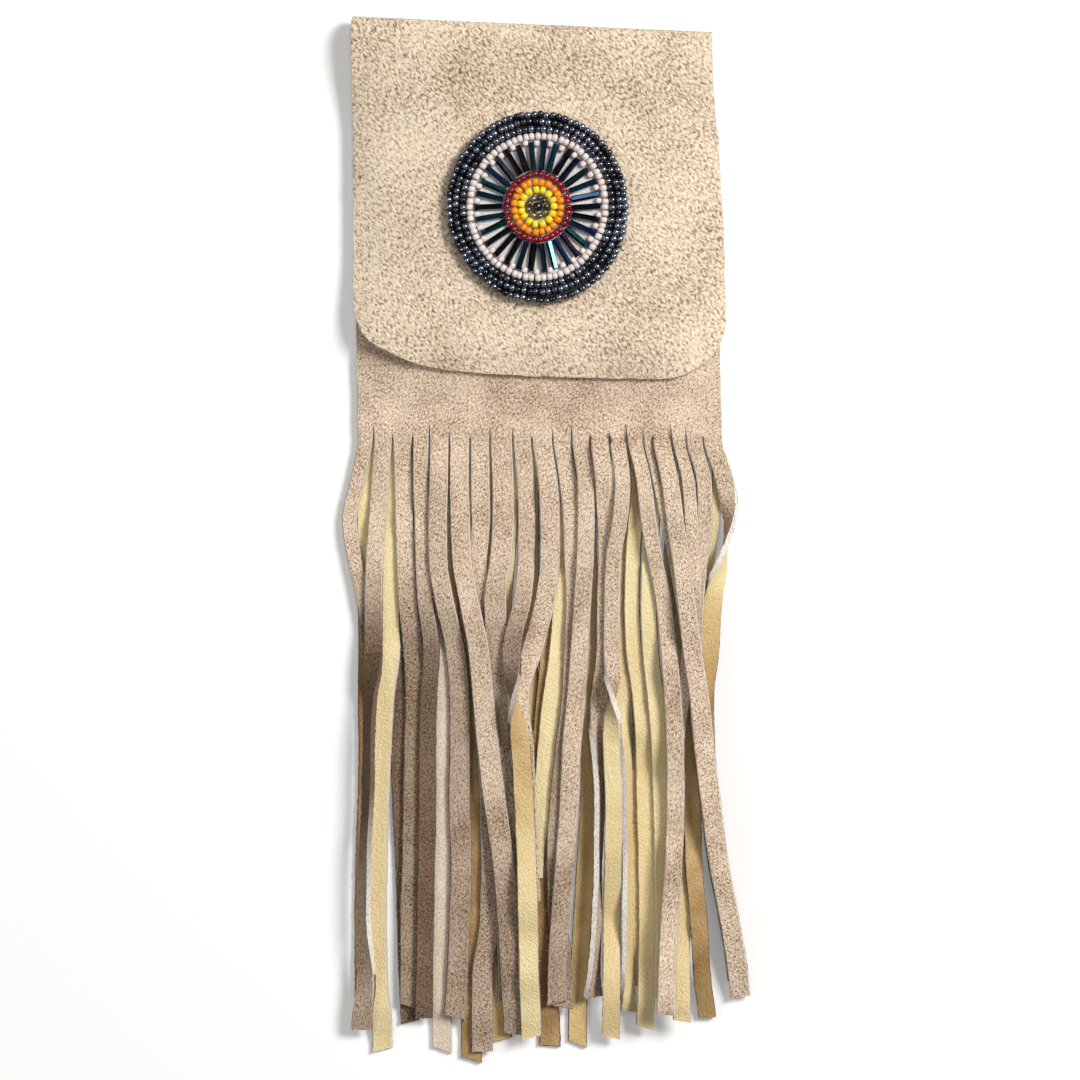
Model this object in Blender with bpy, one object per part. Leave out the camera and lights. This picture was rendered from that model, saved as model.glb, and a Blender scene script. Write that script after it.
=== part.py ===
"""Beaded medicine bag of suede leather, lying flat on its back panel.

Seen from the front, X runs across the bag, Y runs up it and Z points at the viewer.
The origin is on the rear face of the back panel. One hide makes the back and, over a
slanted fold at the top, the flap. The front panel is glued to the back at its sides
and lower end, and both panels are cut into fringe. The rosette of beads sits on a
felt backing on the flap.
"""

import math

import bmesh
import bpy
from mathutils import Matrix, Vector

MM = 0.001

# Leather, and the clearance between pieces that touch
LEATHER = 1.6 * MM
GAP = 0.3 * MM

# Body panels
BODY_WIDTH = 117 * MM
FOLD_WIDTH = 115.6 * MM
FOLD_SHIFT = -2.8 * MM
FRINGE_TOP = -64.5 * MM
FOLD_LINE = 60 * MM
FOLD_SLANT = math.radians(2.5)
FOLD_STEPS = 5
FOLD_CROWDING = 1.6
BACK_ROWS = (1.0, 0.5, 0.0)
FRONT_ROWS = (1.0, 0.75, 0.5, 0.3, 0.18, 0.1, 0.04, 0.0)

# Pocket between the panels, and the fold that has to pass over it
POCKET_DEPTH = 5.4 * MM
POCKET_RISE = 25 * MM
SEAM = 4 * MM
MOUTH_DROP = 20 * MM
MOUTH = FOLD_LINE - MOUTH_DROP
FOLD_RADIUS = (3 * LEATHER + 2 * GAP + POCKET_DEPTH) / 2

# Flap: the hem's points are a share of the half width and a rise above its lowest part
FLAP_DROP = 108.3 * MM
FLAP_OVERHANG = 0.6 * MM
FLAP_SETTLE = 32 * MM
RIGHT_BULGE = 1.5 * MM
LEFT_HOLLOW = 0.8 * MM
CORNER_LIFT = 3.2 * MM
CORNER_REACH = 34 * MM
CORNER_RISE = 10 * MM
FLAP_ROWS = (0.0, 0.08, 0.18, 0.3, 0.45, 0.6, 0.75, 0.86, 0.91, 0.955, 1.0)
HEM = (
    (-1.0, 23.7), (-0.98, 17.9), (-0.93, 12.8), (-0.8, 8.0), (-0.6, 3.8), (-0.4, 2.2),
    (-0.2, 1.4), (0.05, 0.6), (0.28, 0.3), (0.48, 0.0), (0.68, 0.0), (0.85, 3.8),
    (0.94, 8.6), (0.98, 13.1), (1.0, 18.0),
)

# Fringe, with its strips' lay chosen by eye in picture pixels
FRINGE_LENGTH = 203 * MM
SLIT = 0.35 * MM
SLIT_WANDER = 2 * MM
SLIT_WANDER_STEP = 1.9
LAY_SLOPE = 0.35
PICTURE_PX = 0.32 * MM
MIDDLE_PX = 540
SLIT_PX = 430
TIP_PX = 1065
DRAWN_WIDTH = 117 * MM
LAY_ROWS = (440, 460, 480, 520, 560, 600, 650, 700, 750, 800, 860, 920, 980, 1030, 1065)
SLOTS = {
    "front": (16, 19, 20, 17, 20, 21, 20, 23, 19, 21, 19, 18.5, 19.5, 17, 17, 9, 19, 15, 17, 20),
    "back": (23, 19, 18, 19, 21, 20, 21, 21, 21, 20, 19, 18, 18, 17, 17, 17, 13, 17, 17, 11),
}

# Each strip, lowest first: panel, slot, tip, its middle at the lay rows from the third
# on, and where it is turned, the angle in degrees at a row
STRIPS = (
    ("back", 1, 1000, (367, 367, 367, 368, 369, 369, 370, 369, 367, 366, 366, 366), {}),
    ("front", 1, 1000, (357, 348.5, 354, 363, 370, 374, 376, 376, 374, 372, 371, 370), {}),
    ("back", 5, 1000, (446, 446, 447, 448, 450, 455, 456, 456, 457, 457, 456, 456), {}),
    ("back", 7, 1010, (487, 487, 487, 487, 488, 489, 491, 492, 490, 488, 486, 486), {}),
    ("back", 9, 1000, (529, 529, 529, 529, 527, 527, 525, 523, 524, 525, 526, 526), {}),
    ("back", 13, 990, (606, 607, 609, 612, 617, 624, 629, 631, 632, 632, 631, 631), {}),
    ("back", 20, 900, (718, 716, 711, 706, 702, 702, 705, 709, 717, 726, 730, 730), {}),
    ("back", 17, 1000, (673, 672, 670, 669, 669, 670, 672, 673, 673, 673, 672, 671), {}),
    ("back", 14, 1014, (624, 624, 622, 621, 621, 623.5, 626, 627.5, 627.5, 627.5, 628, 629),
     {750: -60, 800: -75, 860: -75, 920: -75, 980: -60}),
    ("back", 10, 1050, (549.5, 549, 549, 550, 550, 546, 542, 539.5, 538, 537.5, 543, 550), {}),
    ("back", 6, 1064, (467, 468, 468, 468, 469, 470, 472, 473, 472, 471.5, 469.5, 471), {}),
    ("back", 4, 1054, (427, 430, 434, 439, 447, 443, 441, 440.5, 441, 440.5, 440.5, 441.5), {}),
    ("back", 3, 1026, (408, 408, 407, 407, 405, 399.5, 399.5, 400.5, 403.5, 405.5, 407, 409.5), {}),
    ("back", 2, 1054, (389, 389, 390, 390, 390.5, 384, 381, 379, 377, 376, 377.5, 381.5), {}),
    ("back", 8, 1044, (508, 508, 505, 502, 499, 497, 497, 499, 500.5, 501, 502.5, 501), {}),
    ("back", 11, 880, (569, 568, 566, 562, 559, 552, 547, 543, 534, 531, 530, 530), {}),
    ("back", 12, 1048, (588, 588, 589, 591, 592, 591, 590.5, 590, 586.5, 583, 579.5, 577.5), {}),
    ("back", 15, 1030, (640, 636, 633, 632, 634, 641, 644.5, 645.5, 647, 648, 647, 645), {}),
    ("back", 16, 1000, (656.5, 652.5, 649.5, 648.5, 650.5, 656, 660, 662, 663.5, 664.5, 663.5, 662), {}),
    ("back", 18, 1022, (688, 686, 684, 683, 682, 683, 684, 684, 683, 681.5, 681, 682), {}),
    ("back", 19, 1021, (704, 702, 699, 695, 691, 690, 691, 692.5, 693.5, 698.5, 702.5, 709), {}),
    ("front", 3, 1010, (403, 404, 405.5, 407.5, 412.5, 415, 414, 413, 412, 410, 410, 410), {}),
    ("front", 4, 1021, (420.5, 422, 423, 425, 431, 428, 427, 427, 426, 425, 424, 423.5), {}),
    ("front", 5, 1020, (438.5, 437.5, 438, 444, 455, 459.5, 460, 459, 461, 459.5, 457, 454.5), {}),
    ("front", 7, 1055, (480, 480.5, 478, 480, 482, 484, 487, 490, 491, 490, 482, 482), {}),
    ("front", 8, 1000, (502.5, 503, 500.5, 495, 497, 497.5, 498, 503, 506, 508, 510, 510), {}),
    ("front", 6, 1037, (459, 460, 461.5, 468.5, 478.5, 483.5, 488.5, 494.5, 503, 508.5, 511.5,
                        514.5), {}),
    ("front", 10, 900, (548, 550, 550, 545, 532.5, 518, 523, 525, 528, 530, 530, 530), {}),
    ("front", 9, 1040, (525.5, 527, 526, 522.5, 511.5, 513.5, 521, 524, 526.5, 528, 529, 531),
     {700: 90, 750: 180, 800: 180, 860: 180, 920: 180, 980: 180, 1030: 180, 1065: 180}),
    ("front", 11, 1010, (568, 572, 573, 575, 573, 571, 565, 560, 556.5, 557.5, 563, 562), {}),
    ("front", 12, 1005, (586, 586, 585, 582.5, 579.5, 576, 571.5, 569.5, 565, 560, 557, 557), {}),
    ("front", 13, 1000, (604, 606, 607, 606, 606, 600, 598, 600, 598.5, 597, 594, 592),
     {750: -60, 800: -75, 860: -75, 920: -75, 980: -60}),
    ("front", 14, 1040, (622.5, 620, 613, 612, 611.5, 613, 611.5, 614, 613, 612, 611.5, 611),
     {700: -90, 750: -180, 800: -180, 860: -180, 920: -180, 980: -180, 1030: -180,
      1065: -180}),
    ("front", 20, 985, (725, 731, 723, 713, 710, 704, 705, 710, 718, 729.5, 739, 741),
     {520: 60, 560: 110, 600: 180, 650: 180, 700: 180, 750: 180, 800: 180, 860: 180, 920: 180,
      980: 180, 1030: 180}),
    ("front", 19, 940, (704, 705, 700, 696, 694, 697, 703, 709, 717, 728, 738, 738), {}),
    ("front", 18, 1000, (688, 691, 693, 694, 689, 682, 676, 675, 673, 670, 668, 668), {}),
    ("front", 15, 1014, (643.5, 648, 655, 663.5, 668.5, 672.5, 675, 675.5, 673.5, 669, 666, 665),
     {}),
    ("front", 16, 970, (656, 664, 672, 679, 687, 695, 702, 709, 718, 729, 738, 743), {}),
    ("front", 17, 1000, (669.5, 674.5, 680.5, 685.5, 691.5, 699, 704, 710, 718, 729.5, 739, 744), {}),
    ("front", 2, 1032, (379.5, 377, 374, 373, 373, 370, 369, 368, 365, 364, 366, 361),
     {700: 55, 750: 65, 800: 65, 860: 65, 920: 60, 980: 30}),
)

# Rosette: rings of beads on strings, round one large bead
ROSETTE_X = -0.8 * MM
ROSETTE_Y = 6.3 * MM
ROSETTE_NARROW = 0.976
ROSETTE_TALL = 1.025
BACKING = 1.0 * MM
BACKING_TRIM = 0.2 * MM
CENTER_BEAD = 3.2 * MM
CENTER_BEAD_HEIGHT = 2.6 * MM
BEAD = 2.1 * MM
BEAD_PITCH = 1.92 * MM
BLACK_BEAD = 1.95 * MM
BLACK_PITCH = 2.3 * MM
BUGLE = 1.8 * MM
BUGLE_LENGTH = 9.2 * MM
BUGLES = 30
SPACER = 1.7 * MM
SPACER_SINK = 0.55 * MM
NECK = 0.72
BEAD_SIDES = 5
BUGLE_SIDES = 6

BRONZE_RING = CENTER_BEAD / 2 + GAP + BEAD / 2
YELLOW_RING = BRONZE_RING + BEAD + GAP
ORANGE_RING = YELLOW_RING + BEAD + GAP
RED_RING = ORANGE_RING + BEAD + GAP
BUGLE_START = RED_RING + BEAD / 2 + GAP
BUGLE_END = BUGLE_START + BUGLE_LENGTH
WHITE_RING = BUGLE_END + GAP + BEAD / 2
BLACK_ROW_1 = WHITE_RING + BEAD / 2 + GAP + BLACK_BEAD / 2
BLACK_ROW_2 = BLACK_ROW_1 + BLACK_BEAD + GAP
BLACK_ROW_3 = BLACK_ROW_2 + BLACK_BEAD + GAP
BACKING_RADIUS = BLACK_ROW_3 + BACKING_TRIM
BEAD_BASE = GAP + BACKING + GAP

# Finishes: colour, roughness, metallic
SUEDE = ("suede", (0.68, 0.5, 0.33), 0.95, 0.0)
SUEDE_PINK = ("suede_panel", (0.56, 0.4, 0.28), 0.95, 0.0)
GRAIN = ("grain_leather", (0.72, 0.55, 0.3), 0.7, 0.0)
FELT = ("felt", (0.82, 0.78, 0.72), 0.9, 0.0)
GUNMETAL = ("gunmetal_bead", (0.1, 0.1, 0.11), 0.25, 0.8)
BRONZE = ("bronze_bead", (0.3, 0.24, 0.12), 0.3, 0.8)
YELLOW = ("yellow_bead", (0.95, 0.75, 0.05), 0.25, 0.0)
ORANGE = ("orange_bead", (0.95, 0.32, 0.01), 0.25, 0.0)
RED = ("red_bead", (0.35, 0.005, 0.03), 0.2, 0.0)
WHITE = ("white_bead", (0.85, 0.78, 0.74), 0.3, 0.0)
BLACK = ("black_bead", (0.02, 0.02, 0.022), 0.15, 0.2)
TEAL = ("bugle_glass", (0.02, 0.06, 0.09), 0.12, 0.4)


def clear_scene():
    for old in list(bpy.data.objects):
        bpy.data.objects.remove(old, do_unlink=True)


def finish_material(finish):
    name, color, roughness, metallic = finish
    material = bpy.data.materials.get(name)
    if material is None:
        material = bpy.data.materials.new(name)
        material.use_nodes = True
        shader = material.node_tree.nodes["Principled BSDF"]
        shader.inputs["Base Color"].default_value = (*color, 1.0)
        shader.inputs["Roughness"].default_value = roughness
        shader.inputs["Metallic"].default_value = metallic
    return material


def new_object(name, mesh, finish):
    piece = bpy.data.objects.new(name, mesh)
    bpy.context.scene.collection.objects.link(piece)
    if not mesh.materials:
        mesh.materials.append(finish_material(finish))
    return piece


def mesh_from(name, points, faces):
    mesh = bpy.data.meshes.new(name)
    mesh.from_pydata([tuple(point) for point in points], [], faces)
    shape = bmesh.new()
    shape.from_mesh(mesh)
    shape.normal_update()
    shape.to_mesh(mesh)
    shape.free()
    return mesh


def thicken(piece, thickness):
    skin = piece.modifiers.new("hide", "SOLIDIFY")
    skin.thickness = thickness
    skin.offset = 0.0
    skin.use_even_offset = True
    skin.use_rim = True


def smooth(value):
    value = min(max(value, 0.0), 1.0)
    return value * value * (3 - 2 * value)


# Panels

def side_x(share, y):
    """Place across the bag at height y, where share is -1 at the left side and 1 at the right."""
    up = (y - FRINGE_TOP) / (FOLD_LINE - FRINGE_TOP)
    width = BODY_WIDTH + (FOLD_WIDTH - BODY_WIDTH) * up
    return FOLD_SHIFT * up + share * width / 2


def share_at(x, y):
    up = (y - FRINGE_TOP) / (FOLD_LINE - FRINGE_TOP)
    width = BODY_WIDTH + (FOLD_WIDTH - BODY_WIDTH) * up
    return (x - FOLD_SHIFT * up) * 2 / width


def fold_y(share):
    return FOLD_LINE - side_x(share, FOLD_LINE) * math.tan(FOLD_SLANT)


def pocket(share, y):
    """How far the front panel stands off the back panel."""
    across = max(1 - share ** 4, 0.0)
    up = smooth((y - FRINGE_TOP - SEAM) / POCKET_RISE)
    return POCKET_DEPTH * across * up


def front_mid(share, y):
    return 1.5 * LEATHER + GAP + pocket(share, y)


def flap_mid(share, y):
    on_panel = front_mid(share, y) + LEATHER + GAP
    at_fold = 2 * FOLD_RADIUS - LEATHER / 2
    settled = smooth((fold_y(share) - y) / FLAP_SETTLE)
    corner = Vector((side_x(-1, 0), FOLD_LINE - FLAP_DROP + CORNER_RISE))
    away = (Vector((side_x(share, y), y)) - corner).length
    lift = CORNER_LIFT * smooth(1 - away / CORNER_REACH)
    return at_fold + (on_panel - at_fold) * settled + lift


def flap_top(x, y):
    return flap_mid(share_at(x, y), y) + LEATHER / 2


def fold_arc(share, angles):
    """Points round the fold; an angle of 0 is its outermost line and 90 its top."""
    ring = FOLD_RADIUS - LEATHER / 2
    foot = Vector((side_x(share, fold_y(share)), fold_y(share), FOLD_RADIUS))
    outward = Vector((math.sin(FOLD_SLANT), math.cos(FOLD_SLANT), 0))
    up = Vector((0, 0, 1))
    return [foot + ring * (math.cos(a) * outward + math.sin(a) * up) for a in angles]


def arc_angles(top):
    half_gap = GAP / 2 / (FOLD_RADIUS - LEATHER / 2)
    span = math.pi / 2 - half_gap
    steps = [half_gap + span * (i / FOLD_STEPS) ** FOLD_CROWDING for i in range(FOLD_STEPS)]
    return steps if top else [-angle for angle in steps]


def slit_shares(panel):
    """Places of the cuts across a panel, from the left side to the right."""
    total = sum(SLOTS[panel])
    shares = [-1.0]
    for slot in SLOTS[panel]:
        shares.append(shares[-1] + 2 * slot / total)
    shares[-1] = 1.0
    return shares


def slit_top(panel, cut):
    if cut in (0, len(SLOTS[panel])):
        return FRINGE_TOP
    return FRINGE_TOP + SLIT_WANDER * math.sin(SLIT_WANDER_STEP * cut)


def grid_faces(first, rows, columns):
    faces = []
    for row in range(rows - 1):
        for column in range(columns - 1):
            a = first + row * columns + column
            b = a + columns
            faces.append((a, b, b + 1, a + 1))
    return faces


# Fringe

def lay_y(row_px):
    return FRINGE_TOP - FRINGE_LENGTH * (row_px - SLIT_PX) / (TIP_PX - SLIT_PX)


def lay_x(px):
    return (px - MIDDLE_PX) * PICTURE_PX * BODY_WIDTH / DRAWN_WIDTH


def slot_sides(panel, slot):
    shares = slit_shares(panel)
    left = side_x(shares[slot - 1], FRINGE_TOP) + SLIT / 2
    right = side_x(shares[slot], FRINGE_TOP) - SLIT / 2
    return left, right


class Strip:
    """One strip of fringe: its middle, turn and height at each lay row."""

    def __init__(self, panel, slot, tip, middles, turns):
        left, right = slot_sides(panel, slot)
        start = (left + right) / 2
        places = [lay_x(px) for px in middles]
        self.panel = panel
        self.slot = slot
        self.tip = tip
        self.width = right - left
        self.middle = [start, (start + places[0]) / 2] + places + [places[-1]]
        self.turn = [math.radians(turns.get(row, 0)) for row in LAY_ROWS]
        self.base = [0.0] * len(LAY_ROWS)
        if panel == "front":
            self.base[0] = LEATHER + GAP

    def half_seen(self, row):
        turn = self.turn[row]
        return (self.width * abs(math.cos(turn)) + LEATHER * abs(math.sin(turn))) / 2

    def half_tall(self, row):
        turn = self.turn[row]
        return (self.width * abs(math.sin(turn)) + LEATHER * abs(math.cos(turn))) / 2

    def reaches(self, row):
        return row < len(LAY_ROWS) and LAY_ROWS[max(row - 1, 0)] < self.tip

    def covers(self, other, row):
        if not (self.reaches(row) and other.reaches(row)):
            return False
        reach = self.half_seen(row) + other.half_seen(row) + GAP / 4
        return abs(self.middle[row] - other.middle[row]) < reach

    def edges(self, row, along=0.0):
        """Left and right edge at a lay row, or part of the way from it to the next."""
        ends = []
        for side in (-1, 1):
            spots = []
            for index in (row, min(row + 1, len(LAY_ROWS) - 1)):
                turn = self.turn[index]
                x = self.middle[index] + side * self.width / 2 * math.cos(turn)
                z = self.base[index] + self.half_tall(index)
                z += side * self.width / 2 * math.sin(turn)
                spots.append(Vector((x, lay_y(LAY_ROWS[index]), z)))
            ends.append(spots[0].lerp(spots[1], along))
        return ends

    def stations(self):
        """Edge points from the first lay row down to the cut tip."""
        last = max(row for row in range(len(LAY_ROWS)) if LAY_ROWS[row] < self.tip)
        result = [self.edges(row) for row in range(last + 1)]
        span = LAY_ROWS[min(last + 1, len(LAY_ROWS) - 1)] - LAY_ROWS[last]
        along = (self.tip - LAY_ROWS[last]) / max(span, 1)
        result.append(self.edges(last, min(along, 1.0)))
        return result


def pile_pairs(strips):
    """Which strip lies over which, and how thick the lower one is there, row by row."""
    pairs = []
    for low, under in enumerate(strips):
        for over in strips[low + 1:]:
            for row in range(1, len(LAY_ROWS)):
                if not (under.reaches(row) and over.reaches(row)):
                    continue
                if over.covers(under, row):
                    pairs.append((over, under, row, 2 * under.half_tall(row)))
                elif over.covers(under, row - 1) or over.covers(under, row + 1):
                    pairs.append((over, under, row, LEATHER))
    return pairs


def settle(strips):
    """Raise each strip until it clears those under it, with no bend steeper than LAY_SLOPE."""
    pairs = pile_pairs(strips)
    heights = [lay_y(row) for row in LAY_ROWS]
    moved = True
    while moved:
        moved = False
        for over, under, row, thick in pairs:
            need = under.base[row] + thick + GAP
            if over.base[row] < need - GAP / 1000:
                over.base[row] = need
                moved = True
        for strip in strips:
            for row in range(1, len(LAY_ROWS)):
                for near in (row - 1, row + 1):
                    if near >= len(LAY_ROWS):
                        continue
                    need = strip.base[near] - LAY_SLOPE * abs(heights[near] - heights[row])
                    if strip.base[row] < need - GAP / 1000:
                        strip.base[row] = need
                        moved = True


def laid_strips():
    strips = [Strip(*row) for row in STRIPS]
    settle(strips)
    return strips


def add_fringe(points, faces, roots, strips):
    """Hang each strip from the two root points of its slot."""
    for strip in strips:
        above = (roots[strip.slot - 1], roots[strip.slot])
        for left, right in strip.stations():
            here = (len(points), len(points) + 1)
            points.extend((left, right))
            faces.append((above[0], here[0], here[1], above[1]))
            above = here


# Leather pieces

def build_back_panel(strips):
    shares = slit_shares("back")
    columns = len(shares)
    points = []
    arcs = [fold_arc(share, arc_angles(False)) for share in shares]
    for step in range(FOLD_STEPS):
        points.extend(arc[step] for arc in arcs)
    for up in BACK_ROWS:
        for cut, share in enumerate(shares):
            top = slit_top("back", cut)
            y = top + (fold_y(share) - top) * up
            points.append(Vector((side_x(share, y), y, LEATHER / 2)))
    rows = FOLD_STEPS + len(BACK_ROWS)
    faces = grid_faces(0, rows, columns)
    first_root = (rows - 1) * columns
    roots = [first_root + cut for cut in range(columns)]
    add_fringe(points, faces, roots, [s for s in strips if s.panel == "back"])
    panel = new_object("back_panel", mesh_from("back_panel", points, faces), GRAIN)
    thicken(panel, LEATHER)
    return panel


def build_front_panel(strips):
    shares = slit_shares("front")
    columns = len(shares)
    points = []
    for up in FRONT_ROWS:
        for cut, share in enumerate(shares):
            mouth = MOUTH - side_x(share, MOUTH) * math.tan(FOLD_SLANT)
            top = slit_top("front", cut)
            y = top + (mouth - top) * up
            points.append(Vector((side_x(share, y), y, front_mid(share, y))))
    faces = grid_faces(0, len(FRONT_ROWS), columns)
    first_root = (len(FRONT_ROWS) - 1) * columns
    roots = [first_root + cut for cut in range(columns)]
    add_fringe(points, faces, roots, [s for s in strips if s.panel == "front"])
    panel = new_object("front_panel", mesh_from("front_panel", points, faces), SUEDE_PINK)
    thicken(panel, LEATHER)
    return panel


def build_flap():
    points = []
    arcs = [fold_arc(share, arc_angles(True)) for share, rise in HEM]
    for step in range(FOLD_STEPS):
        points.extend(arc[step] for arc in arcs)
    for down in FLAP_ROWS:
        for share, rise in HEM:
            top = fold_y(share)
            hem = FOLD_LINE - FLAP_DROP + rise * MM
            y = top + (hem - top) * down
            spread = smooth(2 * down) * (FLAP_OVERHANG * share)
            if share > 0:
                spread += RIGHT_BULGE * share * smooth(1.4 * down)
            else:
                spread -= LEFT_HOLLOW * share * math.sin(math.pi * down) ** 2
            points.append(Vector((side_x(share, y) + spread, y, flap_mid(share, y))))
    faces = grid_faces(0, FOLD_STEPS + len(FLAP_ROWS), len(HEM))
    flap = new_object("flap", mesh_from("flap", points, faces), SUEDE)
    thicken(flap, LEATHER)
    return flap


# Beadwork

def on_flap(radius, angle, height):
    x = ROSETTE_X + radius * ROSETTE_NARROW * math.cos(angle)
    y = ROSETTE_Y + radius * ROSETTE_TALL * math.sin(angle)
    return Vector((x, y, flap_top(x, y) + height))


def build_backing():
    spokes = 32
    rings = (0.35, 0.7, 1.0)
    points = [on_flap(0, 0, GAP + BACKING / 2)]
    for ring in rings:
        for spoke in range(spokes):
            angle = 2 * math.pi * spoke / spokes
            points.append(on_flap(ring * BACKING_RADIUS, angle, GAP + BACKING / 2))
    faces = []
    for spoke in range(spokes):
        after = (spoke + 1) % spokes
        faces.append((0, 1 + spoke, 1 + after))
        for ring in range(len(rings) - 1):
            inner = 1 + ring * spokes
            outer = inner + spokes
            faces.append((inner + spoke, outer + spoke, outer + after, inner + after))
    backing = new_object("rosette_backing", mesh_from("rosette_backing", points, faces), FELT)
    thicken(backing, BACKING)
    return backing


def ring_mesh(name, radius, size, pitch):
    """A string of beads closed on itself: each bead is a neck and a full section."""
    beads = round(2 * math.pi * radius / pitch)
    sections = 2 * beads
    points = []
    for section in range(sections):
        angle = math.pi * section / beads
        reach = size / 2 * (1.0 if section % 2 else NECK)
        for side in range(BEAD_SIDES):
            turn = 2 * math.pi * (side + 0.5) / BEAD_SIDES
            height = BEAD_BASE + size / 2 + reach * math.sin(turn)
            points.append(on_flap(radius + reach * math.cos(turn), angle, height))
    faces = []
    for section in range(sections):
        after = (section + 1) % sections
        for side in range(BEAD_SIDES):
            beside = (side + 1) % BEAD_SIDES
            faces.append((
                section * BEAD_SIDES + side, section * BEAD_SIDES + beside,
                after * BEAD_SIDES + beside, after * BEAD_SIDES + side,
            ))
    mesh = mesh_from(name, points, faces)
    shape = bmesh.new()
    shape.from_mesh(mesh)
    bmesh.ops.recalc_face_normals(shape, faces=shape.faces)
    shape.to_mesh(mesh)
    shape.free()
    return mesh


def build_ring(name, radius, size, pitch, finish):
    return new_object(name, ring_mesh(name, radius, size, pitch), finish)


def build_spacers():
    """Beads inside the white ring, one between the outer ends of two bugles."""
    shape = bmesh.new()
    place = WHITE_RING - BEAD / 2 - SPACER / 2 + SPACER_SINK
    for number in range(BUGLES):
        angle = 2 * math.pi * (number + 0.5) / BUGLES
        spot = on_flap(place, angle, BEAD_BASE + BEAD / 2)
        bmesh.ops.create_uvsphere(
            shape, u_segments=6, v_segments=4, radius=SPACER / 2, matrix=Matrix.Translation(spot)
        )
    mesh = bpy.data.meshes.new("spacer_beads")
    shape.to_mesh(mesh)
    shape.free()
    spacers = new_object("spacer_beads", mesh, WHITE)
    spacers.hide_render = True
    spacers.display_type = "WIRE"
    return spacers


def build_white_ring():
    ring = build_ring("white_ring", WHITE_RING, BEAD, BEAD_PITCH, WHITE)
    join = ring.modifiers.new("spacers", "BOOLEAN")
    join.operation = "UNION"
    join.solver = "EXACT"
    join.object = build_spacers()
    return ring


def build_center_bead():
    shape = bmesh.new()
    bmesh.ops.create_uvsphere(shape, u_segments=10, v_segments=6, radius=CENTER_BEAD / 2)
    bmesh.ops.scale(shape, vec=(1, 1, CENTER_BEAD_HEIGHT / CENTER_BEAD), verts=shape.verts)
    mesh = bpy.data.meshes.new("center_bead")
    shape.to_mesh(mesh)
    shape.free()
    bead = new_object("center_bead", mesh, GUNMETAL)
    bead.location = on_flap(0, 0, BEAD_BASE + CENTER_BEAD_HEIGHT / 2)
    return bead


def build_bugles():
    shape = bmesh.new()
    bmesh.ops.create_cone(
        shape, cap_ends=True, segments=BUGLE_SIDES, radius1=BUGLE / 2, radius2=BUGLE / 2,
        depth=BUGLE_LENGTH,
    )
    mesh = bpy.data.meshes.new("bugle_bead")
    shape.to_mesh(mesh)
    shape.free()
    bugles = []
    for number in range(BUGLES):
        angle = 2 * math.pi * number / BUGLES
        inner = on_flap(BUGLE_START, angle, BEAD_BASE + BUGLE / 2)
        outer = on_flap(BUGLE_END, angle, BEAD_BASE + BUGLE / 2)
        bugle = new_object(f"bugle_bead_{number + 1:02d}", mesh, TEAL)
        bugle.location = (inner + outer) / 2
        bugle.rotation_mode = "QUATERNION"
        bugle.rotation_quaternion = (outer - inner).to_track_quat("Z", "Y")
        bugles.append(bugle)
    return bugles


def build_beadwork():
    pieces = [build_backing(), build_center_bead(), build_white_ring()]
    pieces.append(build_ring("bronze_ring", BRONZE_RING, BEAD, BEAD_PITCH, BRONZE))
    pieces.append(build_ring("yellow_ring", YELLOW_RING, BEAD, BEAD_PITCH, YELLOW))
    pieces.append(build_ring("orange_ring", ORANGE_RING, BEAD, BEAD_PITCH, ORANGE))
    pieces.append(build_ring("red_ring", RED_RING, BEAD, BEAD_PITCH, RED))
    for number, radius in enumerate((BLACK_ROW_1, BLACK_ROW_2, BLACK_ROW_3), 1):
        name = f"black_row_{number}"
        pieces.append(build_ring(name, radius, BLACK_BEAD, BLACK_PITCH, BLACK))
    return pieces + build_bugles()


def add_hinge(pieces):
    """The flap and what is sewn to it turn about the fold's outermost line."""
    hinge = bpy.data.objects.new("flap_hinge", None)
    bpy.context.scene.collection.objects.link(hinge)
    outward = FOLD_RADIUS / math.cos(FOLD_SLANT)
    hinge.location = (0, FOLD_LINE + outward, FOLD_RADIUS)
    for piece in pieces:
        piece.parent = hinge
        piece.matrix_parent_inverse = Matrix.Translation(-hinge.location)


def build_bag():
    clear_scene()
    strips = laid_strips()
    build_back_panel(strips)
    build_front_panel(strips)
    add_hinge([build_flap()] + build_beadwork())


build_bag()
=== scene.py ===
import math

import bmesh
import bpy
import numpy as np
from mathutils import Matrix, Vector, noise


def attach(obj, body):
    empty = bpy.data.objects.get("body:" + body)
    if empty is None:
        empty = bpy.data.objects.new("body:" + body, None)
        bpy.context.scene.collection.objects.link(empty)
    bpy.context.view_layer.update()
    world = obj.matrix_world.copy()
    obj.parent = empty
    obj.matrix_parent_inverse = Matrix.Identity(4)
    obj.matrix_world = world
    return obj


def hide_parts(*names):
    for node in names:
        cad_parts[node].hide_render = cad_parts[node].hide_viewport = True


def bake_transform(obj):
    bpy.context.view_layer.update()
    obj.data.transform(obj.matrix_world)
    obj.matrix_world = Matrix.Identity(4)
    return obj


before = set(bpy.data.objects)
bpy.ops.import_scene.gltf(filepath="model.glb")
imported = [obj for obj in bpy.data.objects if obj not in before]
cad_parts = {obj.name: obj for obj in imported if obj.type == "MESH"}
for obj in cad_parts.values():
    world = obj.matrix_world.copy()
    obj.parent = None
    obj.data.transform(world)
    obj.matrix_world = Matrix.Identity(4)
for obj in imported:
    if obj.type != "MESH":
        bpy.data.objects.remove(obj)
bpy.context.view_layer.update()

MM = 0.001

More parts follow.
